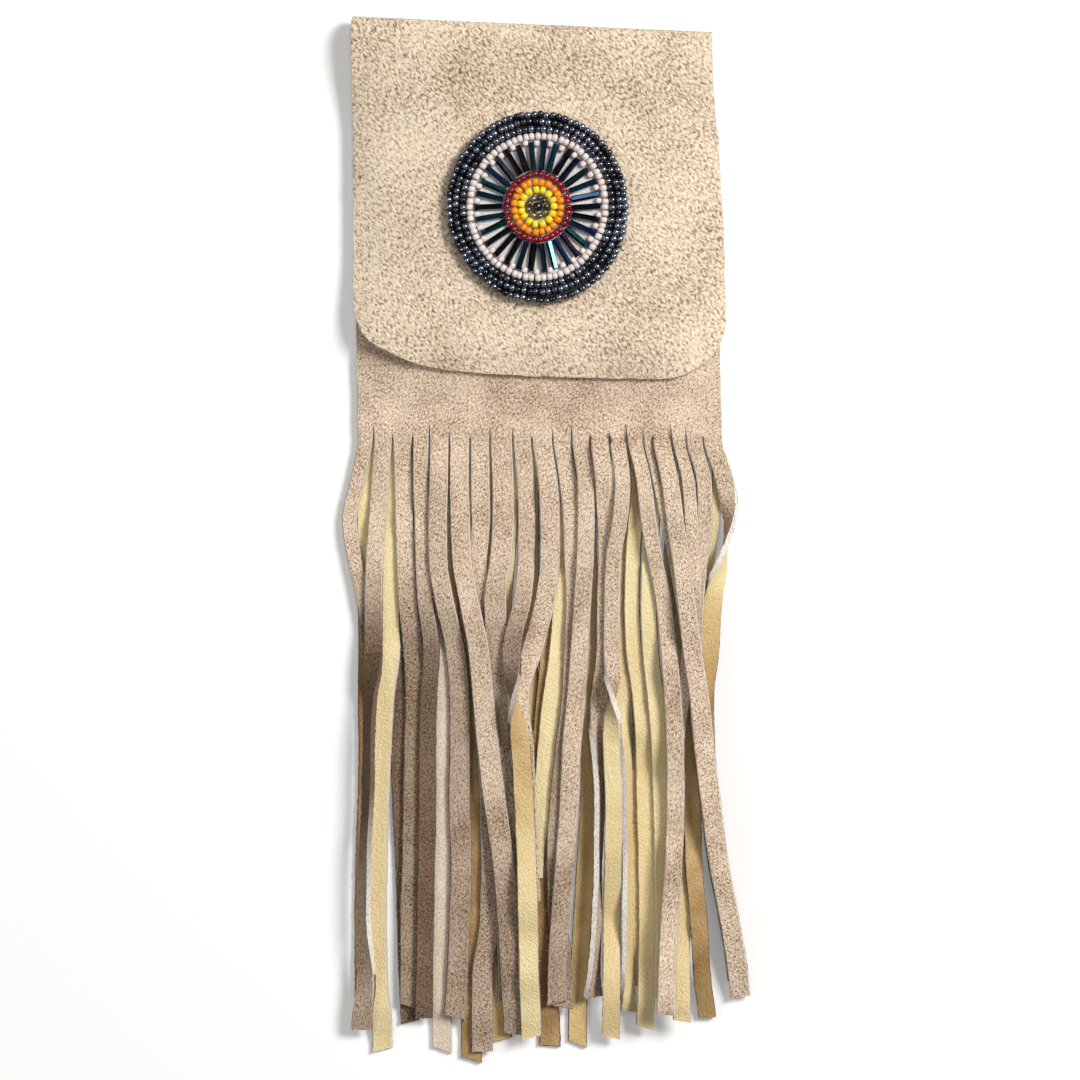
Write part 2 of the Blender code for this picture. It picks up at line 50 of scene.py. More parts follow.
# Sizes that the solids have too
LEATHER = 1.6 * MM
GAP = 0.3 * MM
BODY_WIDTH = 117 * MM
FOLD_WIDTH = 115.6 * MM
FOLD_SHIFT = -2.8 * MM
FRINGE_TOP = -64.5 * MM
FOLD_LINE = 60 * MM
FOLD_SLANT = math.radians(2.5)
POCKET_DEPTH = 5.4 * MM
POCKET_RISE = 25 * MM
SEAM = 4 * MM
MOUTH = FOLD_LINE - 20 * MM
FOLD_RADIUS = (3 * LEATHER + 2 * GAP + POCKET_DEPTH) / 2

# Flap: the hem's points are a share of the half width and a rise above its lowest part
FLAP_DROP = 108.3 * MM
FLAP_OVERHANG = 0.6 * MM
FLAP_SETTLE = 32 * MM
RIGHT_BULGE = 1.5 * MM
LEFT_HOLLOW = 0.8 * MM
CORNER_LIFT = 3.2 * MM
CORNER_REACH = 34 * MM
CORNER_RISE = 10 * MM
HEM = (
    (-1.0, 23.7), (-0.98, 17.9), (-0.93, 12.8), (-0.8, 8.0), (-0.6, 3.8), (-0.4, 2.2),
    (-0.2, 1.4), (0.05, 0.6), (0.28, 0.3), (0.48, 0.0), (0.68, 0.0), (0.85, 3.8),
    (0.94, 8.6), (0.98, 13.1), (1.0, 18.0),
)

# Fringe, with its strips' lay in picture pixels as the solids have it
FRINGE_LENGTH = 203 * MM
SLIT = 0.35 * MM
SLIT_WANDER = 2 * MM
SLIT_WANDER_STEP = 1.9
LAY_SLOPE = 0.35
PICTURE_PX = 0.32 * MM
MIDDLE_PX = 540
SLIT_PX = 430
TIP_PX = 1065
LAY_ROWS = (440, 460, 480, 520, 560, 600, 650, 700, 750, 800, 860, 920, 980, 1030, 1065)
SLOTS = {
    "front": (16, 19, 20, 17, 20, 21, 20, 23, 19, 21, 19, 18.5, 19.5, 17, 17, 9, 19, 15, 17, 20),
    "back": (23, 19, 18, 19, 21, 20, 21, 21, 21, 20, 19, 18, 18, 17, 17, 17, 13, 17, 17, 11),
}

# Each strip, lowest first: panel, slot, tip, and its middle at the lay rows from the third on
STRIPS = (
    ("back", 1, 1000, (367, 367, 367, 368, 369, 369, 370, 369, 367, 366, 366, 366)),
    ("front", 1, 1000, (357, 348.5, 354, 363, 370, 374, 376, 376, 374, 372, 371, 370)),
    ("back", 5, 1000, (446, 446, 447, 448, 450, 455, 456, 456, 457, 457, 456, 456)),
    ("back", 7, 1010, (487, 487, 487, 487, 488, 489, 491, 492, 490, 488, 486, 486)),
    ("back", 9, 1000, (529, 529, 529, 529, 527, 527, 525, 523, 524, 525, 526, 526)),
    ("back", 13, 990, (606, 607, 609, 612, 617, 624, 629, 631, 632, 632, 631, 631)),
    ("back", 20, 900, (718, 716, 711, 706, 702, 702, 705, 709, 717, 726, 730, 730)),
    ("back", 17, 1000, (673, 672, 670, 669, 669, 670, 672, 673, 673, 673, 672, 671)),
    ("back", 14, 1014, (624, 624, 622, 621, 621, 623.5, 626, 627.5, 627.5, 627.5, 628, 629)),
    ("back", 10, 1050, (549.5, 549, 549, 550, 550, 546, 542, 539.5, 538, 537.5, 543, 550)),
    ("back", 6, 1064, (467, 468, 468, 468, 469, 470, 472, 473, 472, 471.5, 469.5, 471)),
    ("back", 4, 1054, (427, 430, 434, 439, 447, 443, 441, 440.5, 441, 440.5, 440.5, 441.5)),
    ("back", 3, 1026, (408, 408, 407, 407, 405, 399.5, 399.5, 400.5, 403.5, 405.5, 407, 409.5)),
    ("back", 2, 1054, (389, 389, 390, 390, 390.5, 384, 381, 379, 377, 376, 377.5, 381.5)),
    ("back", 8, 1044, (508, 508, 505, 502, 499, 497, 497, 499, 500.5, 501, 502.5, 501)),
    ("back", 11, 880, (569, 568, 566, 562, 559, 552, 547, 543, 534, 531, 530, 530)),
    ("back", 12, 1048, (588, 588, 589, 591, 592, 591, 590.5, 590, 586.5, 583, 579.5, 577.5)),
    ("back", 15, 1030, (640, 636, 633, 632, 634, 641, 644.5, 645.5, 647, 648, 647, 645)),
    ("back", 16, 1000, (656.5, 652.5, 649.5, 648.5, 650.5, 656, 660, 662, 663.5, 664.5, 663.5,
                        662)),
    ("back", 18, 1022, (688, 686, 684, 683, 682, 683, 684, 684, 683, 681.5, 681, 682)),
    ("back", 19, 1021, (704, 702, 699, 695, 691, 690, 691, 692.5, 693.5, 698.5, 702.5, 709)),
    ("front", 3, 1010, (403, 404, 405.5, 407.5, 412.5, 415, 414, 413, 412, 410, 410, 410)),
    ("front", 4, 1021, (420.5, 422, 423, 425, 431, 428, 427, 427, 426, 425, 424, 423.5)),
    ("front", 5, 1020, (438.5, 437.5, 438, 444, 455, 459.5, 460, 459, 461, 459.5, 457, 454.5)),
    ("front", 7, 1055, (480, 480.5, 478, 480, 482, 484, 487, 490, 491, 490, 482, 482)),
    ("front", 8, 1000, (502.5, 503, 500.5, 495, 497, 497.5, 498, 503, 506, 508, 510, 510)),
    ("front", 6, 1037, (459, 460, 461.5, 468.5, 478.5, 483.5, 488.5, 494.5, 503, 508.5, 511.5,
                        514.5)),
    ("front", 10, 900, (548, 550, 550, 545, 532.5, 518, 523, 525, 528, 530, 530, 530)),
    ("front", 9, 1040, (525.5, 527, 526, 522.5, 511.5, 513.5, 521, 524, 526.5, 528, 529, 531)),
    ("front", 11, 1010, (568, 572, 573, 575, 573, 571, 565, 560, 556.5, 557.5, 563, 562)),
    ("front", 12, 1005, (586, 586, 585, 582.5, 579.5, 576, 571.5, 569.5, 565, 560, 557, 557)),
    ("front", 13, 1000, (604, 606, 607, 606, 606, 600, 598, 600, 598.5, 597, 594, 592)),
    ("front", 14, 1040, (622.5, 620, 613, 612, 611.5, 613, 611.5, 614, 613, 612, 611.5, 611)),
    ("front", 20, 985, (725, 731, 723, 713, 710, 704, 705, 710, 718, 729.5, 739, 741)),
    ("front", 19, 940, (704, 705, 700, 696, 694, 697, 703, 709, 717, 728, 738, 738)),
    ("front", 18, 1000, (688, 691, 693, 694, 689, 682, 676, 675, 673, 670, 668, 668)),
    ("front", 15, 1014, (643.5, 648, 655, 663.5, 668.5, 672.5, 675, 675.5, 673.5, 669, 666, 665)),
    ("front", 16, 970, (656, 664, 672, 679, 687, 695, 702, 709, 718, 729, 738, 743)),
    ("front", 17, 1000, (669.5, 674.5, 680.5, 685.5, 691.5, 699, 704, 710, 718, 729.5, 739, 744)),
    ("front", 2, 1032, (379.5, 377, 374, 373, 373, 370, 369, 368, 365, 364, 366, 361)),
)

# Where strips turn, in degrees at a lay row; unnamed rows lie flat
EDGE_ON = {750: -60, 800: -75, 860: -75, 920: -75, 980: -60}
TURNS = {
    ("back", 14): EDGE_ON,
    ("front", 2): {700: 55, 750: 65, 800: 65, 860: 65, 920: 60, 980: 30},
    ("front", 9): {700: 90, **dict.fromkeys(LAY_ROWS[8:], 180)},
    ("front", 13): EDGE_ON,
    ("front", 14): {700: -90, **dict.fromkeys(LAY_ROWS[8:], -180)},
    ("front", 20): {520: 60, 560: 110, **dict.fromkeys(LAY_ROWS[5:14], 180)},
}

# Strips with the panel's under side up, and how much painted shade darkens each strip (below zero,
# painted light makes it paler), at its tip too where that is not the same
TURNED_OVER = {("back", 3), ("back", 4)}
USUAL_PAINTED_SHADE = 0.3
PAINTED_SHADE = {
    "back": {1: 1.0, 2: 0.0, 3: 0.65, 4: -0.25, 6: 0.85, 8: 0.6, 10: 0.85, 11: 0.0, 12: 0.25,
             14: 0.1, 15: 0.15, 16: 0.05, 18: 0.2, 19: 0.55},
    "front": {1: 0.9, 2: 0.85, 3: 0.5, 4: 0.7, 5: 0.35, 6: 0.08, 7: 0.3, 8: 0.4, 9: 0.6, 10: 0.0,
              11: 0.4, 12: 0.02, 13: 0.2, 14: 0.1, 15: 0.02, 16: 0.1, 17: 0.0, 18: 0.1, 19: 0.1,
              20: 0.8},
}
TIP_PAINTED_SHADE = {
    "back": {12: 0.55, 19: 0.85},
    "front": {1: 0.3, 2: 0.35, 6: 0.4, 9: 0.05, 12: 0.3, 14: 0.25},
}

# Fineness of the leather meshes
STRIP_COLUMNS = 6
ROW_STEP_PX = 3
BODY_ROWS = {"front": 100, "back": 80}
FLAP_COLUMNS = 176
FLAP_BODY_ROWS = 128
FOLD_ROWS = 22

# Nap, waves and cut edges of the leather
NAP_HEIGHT = 0.1 * MM
NAP_GRAIN = 0.9 * MM
FRAY = 0.2 * MM
FRAY_GRAIN = 0.5 * MM
RAGGED_SIDE = 0.25 * MM
RAGGED_HEM = 0.22 * MM
WAVE = 0.22 * MM
WAVE_LENGTH = 26 * MM
CUT_SLANT = 0.3 * MM
# Painted shade added to the tone of the lower rim of every cut edge
RIM_SHADE = 0.7
SHARP_EDGE = math.radians(50)

# Changes along a strip: how much, from which picture row, and over how many rows
FLARE, FLARE_ROW, FLARE_ROWS = 0.13, 570, 160
UNEVEN, UNEVEN_ROWS = 0.04, 25
ROLL, ROLL_ROWS, ROLL_EASE = 8, 70, 60
CUP = 0.2 * MM
TIP_SLANT = 2.4 * MM
# Where the strips' painted shade starts and where it turns to its tip value, each over so many rows
PAINTED_SHADE_ROW, PAINTED_SHADE_ROWS = 540, 150
TIP_PAINTED_SHADE_ROW, TIP_PAINTED_SHADE_ROWS = 750, 200

# Where the chances of the front's strips start, past those of the back's
FRONT_SEED = 40

# Where each piece lies on the hide, in metres along X, so that no two show the same nap
HIDE_PLACE = {"back": 0.0, "front": 0.5, "flap": 1.0}

# Rosette
ROSETTE_X = -0.8 * MM
ROSETTE_Y = 6.3 * MM
ROSETTE_NARROW = 0.976
ROSETTE_TALL = 1.025
BACKING = 1.0 * MM
CENTER_BEAD = 3.2 * MM
BEAD = 2.1 * MM
BEAD_PITCH = 1.92 * MM
BLACK_BEAD = 1.95 * MM
BUGLE_SEEN = 2.05 * MM
BEAD_SEEN = 2.45 * MM
BLACK_SEEN = 2.3 * MM
BLACK_SPACING = 2.02 * MM
BUGLE_LENGTH = 9.2 * MM
BUGLE_CHAMFER = 0.12 * MM
BUGLES = 30
SPACER = 1.7 * MM
THREAD = 0.28 * MM

# How loosely the beads are sewn, how much of its pitch a bead fills, and the felt's lumps
BEAD_FILL = 0.94
BUGLE_SWING = math.radians(4.2)
BUGLE_SHORT = 0.7 * MM
BUGLE_SLIDE = 0.25 * MM
BUGLE_TUCK = 0.15 * MM
SPACER_SLIDE = 0.3 * MM
FELT_SPOKES = 120
FELT_RINGS = 26
FELT_LUMP = 0.1 * MM
FELT_GRAIN = 1.1 * MM
FELT_SINK = 0.12 * MM
FELT_FOOT = 0.02 * MM

BRONZE_RING = CENTER_BEAD / 2 + GAP + BEAD / 2
YELLOW_RING = BRONZE_RING + BEAD + GAP
ORANGE_RING = YELLOW_RING + BEAD + GAP
RED_RING = ORANGE_RING + BEAD + GAP
BUGLE_START = RED_RING + BEAD / 2 + GAP
BUGLE_END = BUGLE_START + BUGLE_LENGTH
WHITE_RING = BUGLE_END + GAP + BEAD / 2
BLACK_ROW_1 = WHITE_RING + BEAD / 2 + GAP + BLACK_BEAD / 2
BLACK_ROW_2 = BLACK_ROW_1 + BLACK_BEAD + GAP
BLACK_ROW_3 = BLACK_ROW_2 + BLACK_BEAD + GAP
BACKING_RADIUS = BLACK_ROW_3 + 0.2 * MM

ROWS = np.arange(LAY_ROWS[0], TIP_PX + ROW_STEP_PX, ROW_STEP_PX, dtype=float)


# Small helpers

def smooth(value):
    value = min(max(value, 0.0), 1.0)
    return value * value * (3 - 2 * value)


def chance(seed):
    """The same number between 0 and 1 for the same seed."""
    spot = math.sin(seed * 12.9898 + 4.137) * 43758.5453
    return spot - math.floor(spot)


def wander(x, y, z, size):
    """Soft noise from -1 to 1 whose lumps are about this size across."""
    return noise.noise(Vector((x / size, y / size, z / size)))


def glide(keys, values, at):
    """Smooth curve through the values that never swings past them."""
    keys = np.asarray(keys, float)
    values = np.asarray(values, float)
    step = np.diff(keys)
    rise = np.diff(values) / step
    slope = np.zeros(len(keys))
    product = rise[:-1] * rise[1:]
    going_on = product > 0
    total = np.where(going_on, rise[:-1] + rise[1:], 1.0)
    slope[1:-1] = np.where(going_on, 2 * product / total, 0.0)
    spot = np.clip(np.searchsorted(keys, at, side="right") - 1, 0, len(step) - 1)
    t = np.clip((at - keys[spot]) / step[spot], 0, 1)
    start, end = values[spot], values[spot + 1]
    pull = step[spot]
    return (
        (2 * t ** 3 - 3 * t ** 2 + 1) * start + (3 * t ** 2 - 2 * t ** 3) * end
        + (t ** 3 - 2 * t ** 2 + t) * pull * slope[spot]
        + (t ** 3 - t ** 2) * pull * slope[spot + 1]
    )


def soften(values, passes):
    values = np.array(values, float)
    for _ in range(passes):
        padded = np.concatenate((values[:1], values, values[-1:]))
        values = (padded[:-2] + 2 * padded[1:-1] + padded[2:]) / 4
    return values


def link(piece):
    bpy.context.scene.collection.objects.link(piece)
    return piece


def as_object(name, data):
    return link(bpy.data.objects.new(name, data))


def plain_copy(piece, name):
    """The evaluated piece as one plain mesh, in place of the piece with its modifiers."""
    graph = bpy.context.evaluated_depsgraph_get()
    graph.update()
    mesh = bpy.data.meshes.new_from_object(
        piece.evaluated_get(graph), preserve_all_data_layers=True, depsgraph=graph
    )
    bpy.data.objects.remove(piece, do_unlink=True)
    mesh.name = name
    return as_object(name, mesh)


# Shape of the panels

def body_at(y):
    """Sideways shift and width of the bag at this height."""
    up = (y - FRINGE_TOP) / (FOLD_LINE - FRINGE_TOP)
    return FOLD_SHIFT * up, BODY_WIDTH + (FOLD_WIDTH - BODY_WIDTH) * up


def side_x(share, y):
    shift, width = body_at(y)
    return shift + share * width / 2


def share_at(x, y):
    shift, width = body_at(y)
    return (x - shift) * 2 / width


def slanted(line, share):
    return line - side_x(share, line) * math.tan(FOLD_SLANT)


def fold_y(share):
    return slanted(FOLD_LINE, share)


def mouth_y(share):
    return slanted(MOUTH, share)


def pocket(share, y):
    across = max(1 - share ** 4, 0.0)
    return POCKET_DEPTH * across * smooth((y - FRINGE_TOP - SEAM) / POCKET_RISE)


def front_mid(share, y):
    return 1.5 * LEATHER + GAP + pocket(share, y)


def flap_mid(share, y):
    """Middle of the flap's leather, with the slow waves of a soft hide."""
    on_panel = front_mid(share, y) + LEATHER + GAP
    at_fold = 2 * FOLD_RADIUS - LEATHER / 2
    down = fold_y(share) - y
    corner = Vector((side_x(-1, 0), FOLD_LINE - FLAP_DROP + CORNER_RISE))
    away = (Vector((side_x(share, y), y)) - corner).length
    lift = CORNER_LIFT * smooth(1 - away / CORNER_REACH)
    wave = WAVE * (1 + wander(side_x(share, y), y, 0.03, WAVE_LENGTH)) * smooth(down / POCKET_RISE)
    return at_fold + (on_panel - at_fold) * smooth(down / FLAP_SETTLE) + lift + wave


def flap_top(x, y):
    return flap_mid(share_at(x, y), y) + LEATHER / 2


def fold_point(share, angle):
    """A point of the folded leather; an angle of 0 is its outermost line and 90 its top."""
    ring = FOLD_RADIUS - LEATHER / 2
    foot = Vector((side_x(share, fold_y(share)), fold_y(share), FOLD_RADIUS))
    outward = Vector((math.sin(FOLD_SLANT), math.cos(FOLD_SLANT), 0))
    return foot + ring * (math.cos(angle) * outward + math.sin(angle) * Vector((0, 0, 1)))


def slit_shares(panel):
    total = sum(SLOTS[panel])
    shares = [-1.0]
    for slot in SLOTS[panel]:
        shares.append(shares[-1] + 2 * slot / total)
    shares[-1] = 1.0
    return shares


def slit_top(panel, cut):
    if cut in (0, len(SLOTS[panel])):
        return FRINGE_TOP
    return FRINGE_TOP + SLIT_WANDER * math.sin(SLIT_WANDER_STEP * cut)


def column_shares(panel):
    """Share and fringe top of every column of the body's mesh, six to a slot."""
    shares = slit_shares(panel)
    columns = []
    for slot in range(len(SLOTS[panel])):
        left, right = slit_top(panel, slot), slit_top(panel, slot + 1)
        for step in range(STRIP_COLUMNS):
            t = step / STRIP_COLUMNS
            share = shares[slot] + (shares[slot + 1] - shares[slot]) * t
            columns.append((share, left + (right - left) * t))
    columns.append((1.0, FRINGE_TOP))
    return columns


def lay_y(row_px):
    return FRINGE_TOP - FRINGE_LENGTH * (row_px - SLIT_PX) / (TIP_PX - SLIT_PX)


def lay_x(px):
    return (px - MIDDLE_PX) * PICTURE_PX


# Fringe

class Strip:
    """One strip of fringe, with its middle, turn and height at every fine row."""

    def __init__(self, panel, slot, tip, middles):
        shares = slit_shares(panel)
        left = side_x(shares[slot - 1], FRINGE_TOP) + SLIT / 2
        right = side_x(shares[slot], FRINGE_TOP) - SLIT / 2
        start = (left + right) / 2
        places = [lay_x(px) for px in middles]
        keys = [start, (start + places[0]) / 2] + places + [places[-1]]
        turns = TURNS.get((panel, slot), {})
        seed = slot + (FRONT_SEED if panel == "front" else 0)
        self.panel = panel
        self.slot = slot
        self.tip = tip
        self.seed = seed
        self.middle = soften(glide(LAY_ROWS, keys, ROWS), 10)
        angles = glide(LAY_ROWS, [turns.get(row, 0) for row in LAY_ROWS], ROWS)
        roll = np.array([ROLL * wander(seed * 3.7, row, 0, ROLL_ROWS) for row in ROWS])
        ease = np.clip((ROWS - LAY_ROWS[0]) / ROLL_EASE, 0, 1)
        self.turn = np.radians(soften(angles, 6) + roll * ease)
        self.cup = CUP * (chance(seed) - 0.3) * ease
        uneven = np.array([UNEVEN * wander(seed, row, 5, UNEVEN_ROWS) for row in ROWS])
        spread = np.clip((ROWS - FLARE_ROW) / FLARE_ROWS, 0, 1)
        self.width = (right - left) * (1 + (FLARE + uneven) * spread)
        self.base = np.zeros(len(ROWS))

    def half_seen(self):
        wide = self.width * np.abs(np.cos(self.turn)) + LEATHER * np.abs(np.sin(self.turn))
        return wide / 2

    def half_tall(self):
        tall = self.width * np.abs(np.sin(self.turn)) + LEATHER * np.abs(np.cos(self.turn))
        return tall / 2


def settle(strips):
    """Lay each strip on those under it, lowest first, with no bend steeper than LAY_SLOPE."""
    spread = 3
    fall = LAY_SLOPE * FRINGE_LENGTH * ROW_STEP_PX / (TIP_PX - SLIT_PX)
    for order, strip in enumerate(strips):
        need = np.zeros(len(ROWS))
        if strip.panel == "front":
            need[0] = LEATHER + GAP
        for under in strips[:order]:
            reach = strip.half_seen() + under.half_seen() + GAP / 2
            over = (np.abs(strip.middle - under.middle) < reach) & (ROWS < under.tip + ROW_STEP_PX)
            top = under.base + 2 * under.half_tall() + GAP / 2
            need = np.maximum(need, np.where(over, top, 0.0))
        wide = need.copy()
        for shift in range(1, spread + 1):
            wide[shift:] = np.maximum(wide[shift:], need[:-shift])
            wide[:-shift] = np.maximum(wide[:-shift], need[shift:])
        wide[0] = need[0]
        for row in range(1, len(wide)):
            wide[row] = max(wide[row], wide[row - 1] - fall)
        for row in range(len(wide) - 2, 0, -1):
            wide[row] = max(wide[row], wide[row + 1] - fall)
        strip.base = soften(wide, 5)
        strip.base[0] = need[0]


def laid_strips():
    strips = [Strip(*row) for row in STRIPS]
    settle(strips)
    return strips


def strip_rows(strip):
    """Points of each fine row of a strip, the last one on its slanting cut."""
    tall = strip.half_tall()
    slant = (chance(strip.seed + 7) - 0.5) * TIP_SLANT
    last = int(np.searchsorted(ROWS, strip.tip)) - 1
    rows = []
    for row in range(last + 1):
        points = []
        for column in range(STRIP_COLUMNS + 1):
            across = 2 * column / STRIP_COLUMNS - 1
            reach = across * strip.width[row] / 2
            bow = strip.cup[row] * (across * across - 0.4)
            turn = strip.turn[row]
            x = strip.middle[row] + reach * math.cos(turn) - bow * math.sin(turn)
            z = strip.base[row] + tall[row] + reach * math.sin(turn) + bow * math.cos(turn)
            y = lay_y(ROWS[row])
            if row == last:
                y = lay_y(strip.tip) + slant * across
            points.append((x, y, z))
        rows.append(points)
    return rows


class Sheet:
    """Middle surface of a piece of leather, gathered point by point."""

    def __init__(self):
        self.points = []
        self.cut = []
        self.tone = []
        self.faces = []
        self.finish = []

    def add(self, point, cut, tone=0.0):
        self.points.append(tuple(point))
        self.cut.append(cut)
        self.tone.append(tone)
        return len(self.points) - 1

    def quads(self, above, below, finish):
        for a, b, c, d in zip(above[:-1], below[:-1], below[1:], above[1:]):
            self.faces.append((a, b, c, d))
            self.finish.append(finish)

    def skin(self, rows, finish):
        for above, below in zip(rows[:-1], rows[1:]):
            self.quads(above, below, finish)

    def piece(self, name, materials):
        """Thickened leather: upper side, under side and cut edge have a finish each."""
        mesh = bpy.data.meshes.new(name)
        mesh.from_pydata(self.points, [], self.faces)
        for material in materials:
            mesh.materials.append(material)
        mesh.polygons.foreach_set("material_index", self.finish)
        corners = np.empty(len(mesh.loops), dtype=np.int32)
        mesh.loops.foreach_get("vertex_index", corners)
        layer = mesh.uv_layers.new(name="cut")
        layer.uv.foreach_set("vector", np.array(self.cut)[corners].ravel())
        tones = mesh.attributes.new("tone", "FLOAT", "POINT")
        tones.data.foreach_set("value", self.tone)
        mesh.shade_smooth()
        body = as_object(name, mesh)
        hide = body.modifiers.new("hide", "SOLIDIFY")
        hide.thickness = LEATHER
        hide.offset = 0.0
        hide.use_even_offset = True
        hide.use_rim = True
        hide.material_offset = 1
        hide.material_offset_rim = 2
        leather = plain_copy(body, name)
        slant_cut(leather.data)
        roughen(leather.data)
        leather.data.set_sharp_from_angle(angle=SHARP_EDGE)
        return leather


def slant_cut(mesh):
    """Draw the upper rim in a little, as a knife at a slant leaves it; the lower rim gets painted
    shade.
    """
    tones = mesh.attributes["tone"].data
    pull = {}
    lower = set()
    for face in mesh.polygons:
        if face.material_index % 3 != 2 or abs(face.normal.z) > 0.5:
            continue
        for corner in face.vertices:
            if mesh.vertices[corner].co.z > face.center.z:
                pull[corner] = pull.get(corner, Vector()) + face.normal
            else:
                lower.add(corner)
    for corner, away in pull.items():
        mesh.vertices[corner].co -= CUT_SLANT * away.normalized()
    # painted shade: the lower rim darkens like a contact line
    for corner in lower:
        tones[corner].value += RIM_SHADE
    mesh.update()


def roughen(mesh):
    """Raise the nap and fray the cut edges a little."""
    count = len(mesh.vertices)
    places = np.empty(3 * count)
    normals = np.empty(3 * count)
    mesh.vertices.foreach_get("co", places)
    mesh.vertex_normals.foreach_get("vector", normals)
    places = places.reshape(-1, 3)
    normals = normals.reshape(-1, 3)
    rim = np.zeros(count)
    for face in mesh.polygons:
        if face.material_index % 3 == 2:
            for corner in face.vertices:
                rim[corner] = 1.0
    for index, (x, y, z) in enumerate(places.copy()):
        rise = NAP_HEIGHT * wander(x, y, z, NAP_GRAIN)
        rise += rim[index] * FRAY * wander(x, y, z, FRAY_GRAIN)
        places[index] += rise * normals[index]
    mesh.vertices.foreach_set("co", places.ravel())
    mesh.update()


# Finishes of each slot: grain up, suede under, edge; then suede up, grain under, edge
GRAIN_UP = 0
SUEDE_UP = 3


def add_strips(sheet, panel, strips, finish):
    root_row = len(sheet.points) - (len(SLOTS[panel]) * STRIP_COLUMNS + 1)
    for strip in strips:
        if strip.panel != panel:
            continue
        first = root_row + (strip.slot - 1) * STRIP_COLUMNS
        above = list(range(first, first + STRIP_COLUMNS + 1))
        # depth and tone below are painted shade (painted light where below zero), easing in down
        # the strip and changing towards its tip
        depth = PAINTED_SHADE[panel].get(strip.slot, USUAL_PAINTED_SHADE)
        tip_shade = TIP_PAINTED_SHADE[panel].get(strip.slot, depth)
        own = finish
        if (panel, strip.slot) in TURNED_OVER:
            own = GRAIN_UP if finish == SUEDE_UP else SUEDE_UP
        for row, points in enumerate(strip_rows(strip)):
            ease = smooth((ROWS[row] - PAINTED_SHADE_ROW) / PAINTED_SHADE_ROWS)
            late = smooth((ROWS[row] - TIP_PAINTED_SHADE_ROW) / TIP_PAINTED_SHADE_ROWS)
            tone = (depth + (tip_shade - depth) * late) * ease
            here = []
            for column, point in enumerate(points):
                share = sheet.cut[first + column][0]
                cut = (share, sheet.cut[first + column][1] + point[1] - FRINGE_TOP)
                here.append(sheet.add(point, cut, tone))
            sheet.quads(above, here, own)
            above = here


def build_panel(panel, strips, finish, materials, upper_edge, middle, ragged):
    """A panel from its upper edge down to the tips of its fringe."""
    sheet = Sheet()
    rows = []
    for down in range(BODY_ROWS[panel] + 1):
        up = 1 - down / BODY_ROWS[panel]
        row = []
        for share, top in column_shares(panel):
            y = top + (upper_edge(share) - top) * up
            x = side_x(share, y) + share ** 9 * ragged * wander(share, y, 2, 7 * MM)
            row.append(sheet.add((x, y, middle(share, y)), (x + HIDE_PLACE[panel], y)))
        rows.append(row)
    sheet.skin(rows, finish)
    add_strips(sheet, panel, strips, finish)
    return sheet.piece(panel + "_leather", materials)


def build_flap_leather(materials):
    """The flap with the whole fold, which joins the back panel's leather under the fold."""
    sheet = Sheet()
    turns = [step / FLAP_COLUMNS * 2 - 1 for step in range(FLAP_COLUMNS + 1)]
    shares = [0.5 * turn + 0.5 * math.sin(math.pi * turn / 2) for turn in turns]
    rises = glide([point[0] for point in HEM], [point[1] for point in HEM], np.array(shares))
    ring = FOLD_RADIUS - LEATHER / 2
    half_bend = ring * math.pi / 2
    rows = []
    for step in range(FOLD_ROWS):
        angle = math.pi * (step / FOLD_ROWS - 0.5)
        row = []
        for share in shares:
            point = fold_point(share, angle)
            row.append(sheet.add(point, (point.x + HIDE_PLACE["flap"], FOLD_LINE - ring * angle)))
        rows.append(row)
    for step in range(FLAP_BODY_ROWS + 1):
        down = step / FLAP_BODY_ROWS
        row = []
        for share, rise in zip(shares, rises):
            top = fold_y(share)
            ragged = RAGGED_HEM * wander(share * 0.058, 0.3, 0.2, 5 * MM) * smooth(4 * down - 3)
            hem = FOLD_LINE - FLAP_DROP + rise * MM + ragged
            y = top + (hem - top) * down
            spread = smooth(2 * down) * (FLAP_OVERHANG * share)
            if share > 0:
                spread += RIGHT_BULGE * share * smooth(1.4 * down)
            else:
                spread -= LEFT_HOLLOW * share * math.sin(math.pi * down) ** 2
            spread += share ** 9 * RAGGED_SIDE * wander(share, y, 4, 8 * MM)
            x = side_x(share, y) + spread
            cut = (x + HIDE_PLACE["flap"], FOLD_LINE - half_bend - (top - y))
            row.append(sheet.add((x, y, flap_mid(share, y)), cut))
        rows.append(row)
    sheet.skin(rows, SUEDE_UP)
    return sheet.piece("flap_leather", materials)


# Node helpers

def socket_of(value):
    return isinstance(value, bpy.types.NodeSocket)


def add(tree, kind, inputs=None, **settings):
    """A node with its settings; an input is a value or another node's output."""
    node = tree.nodes.new(kind)
    for key, value in settings.items():
        setattr(node, key, value)
    for key, value in (inputs or {}).items():
        socket = node.inputs[key]
        if socket_of(value):
            tree.links.new(value, socket)
        else:
            socket.default_value = value
    return node


def ramp(tree, factor, stops):
    """Colours or greys along a factor; stops are (place, grey or colour)."""
    node = add(tree, "ShaderNodeValToRGB", {"Fac": factor})
    bar = node.color_ramp
    stops = list(stops)
    while len(bar.elements) < len(stops):
        bar.elements.new(1.0)
    for element, (place, color) in zip(bar.elements, stops):
        element.position = place
        if not isinstance(color, tuple):
            color = (color, color, color)
        element.color = (*color, 1.0)
    return node.outputs["Color"]


def mix(tree, factor, first, second, blend="MIX"):
    node = add(tree, "ShaderNodeMix", data_type="RGBA", blend_type=blend)
    for index, value in ((0, factor), (6, first), (7, second)):
        socket = node.inputs[index]
        if socket_of(value):
            tree.links.new(value, socket)
        elif isinstance(value, tuple):
            socket.default_value = (*value, 1.0)
        else:
            socket.default_value = value
    return node.outputs[2]


def tint(tree, color, shade):
    return mix(tree, 1.0, color, shade, "MULTIPLY")


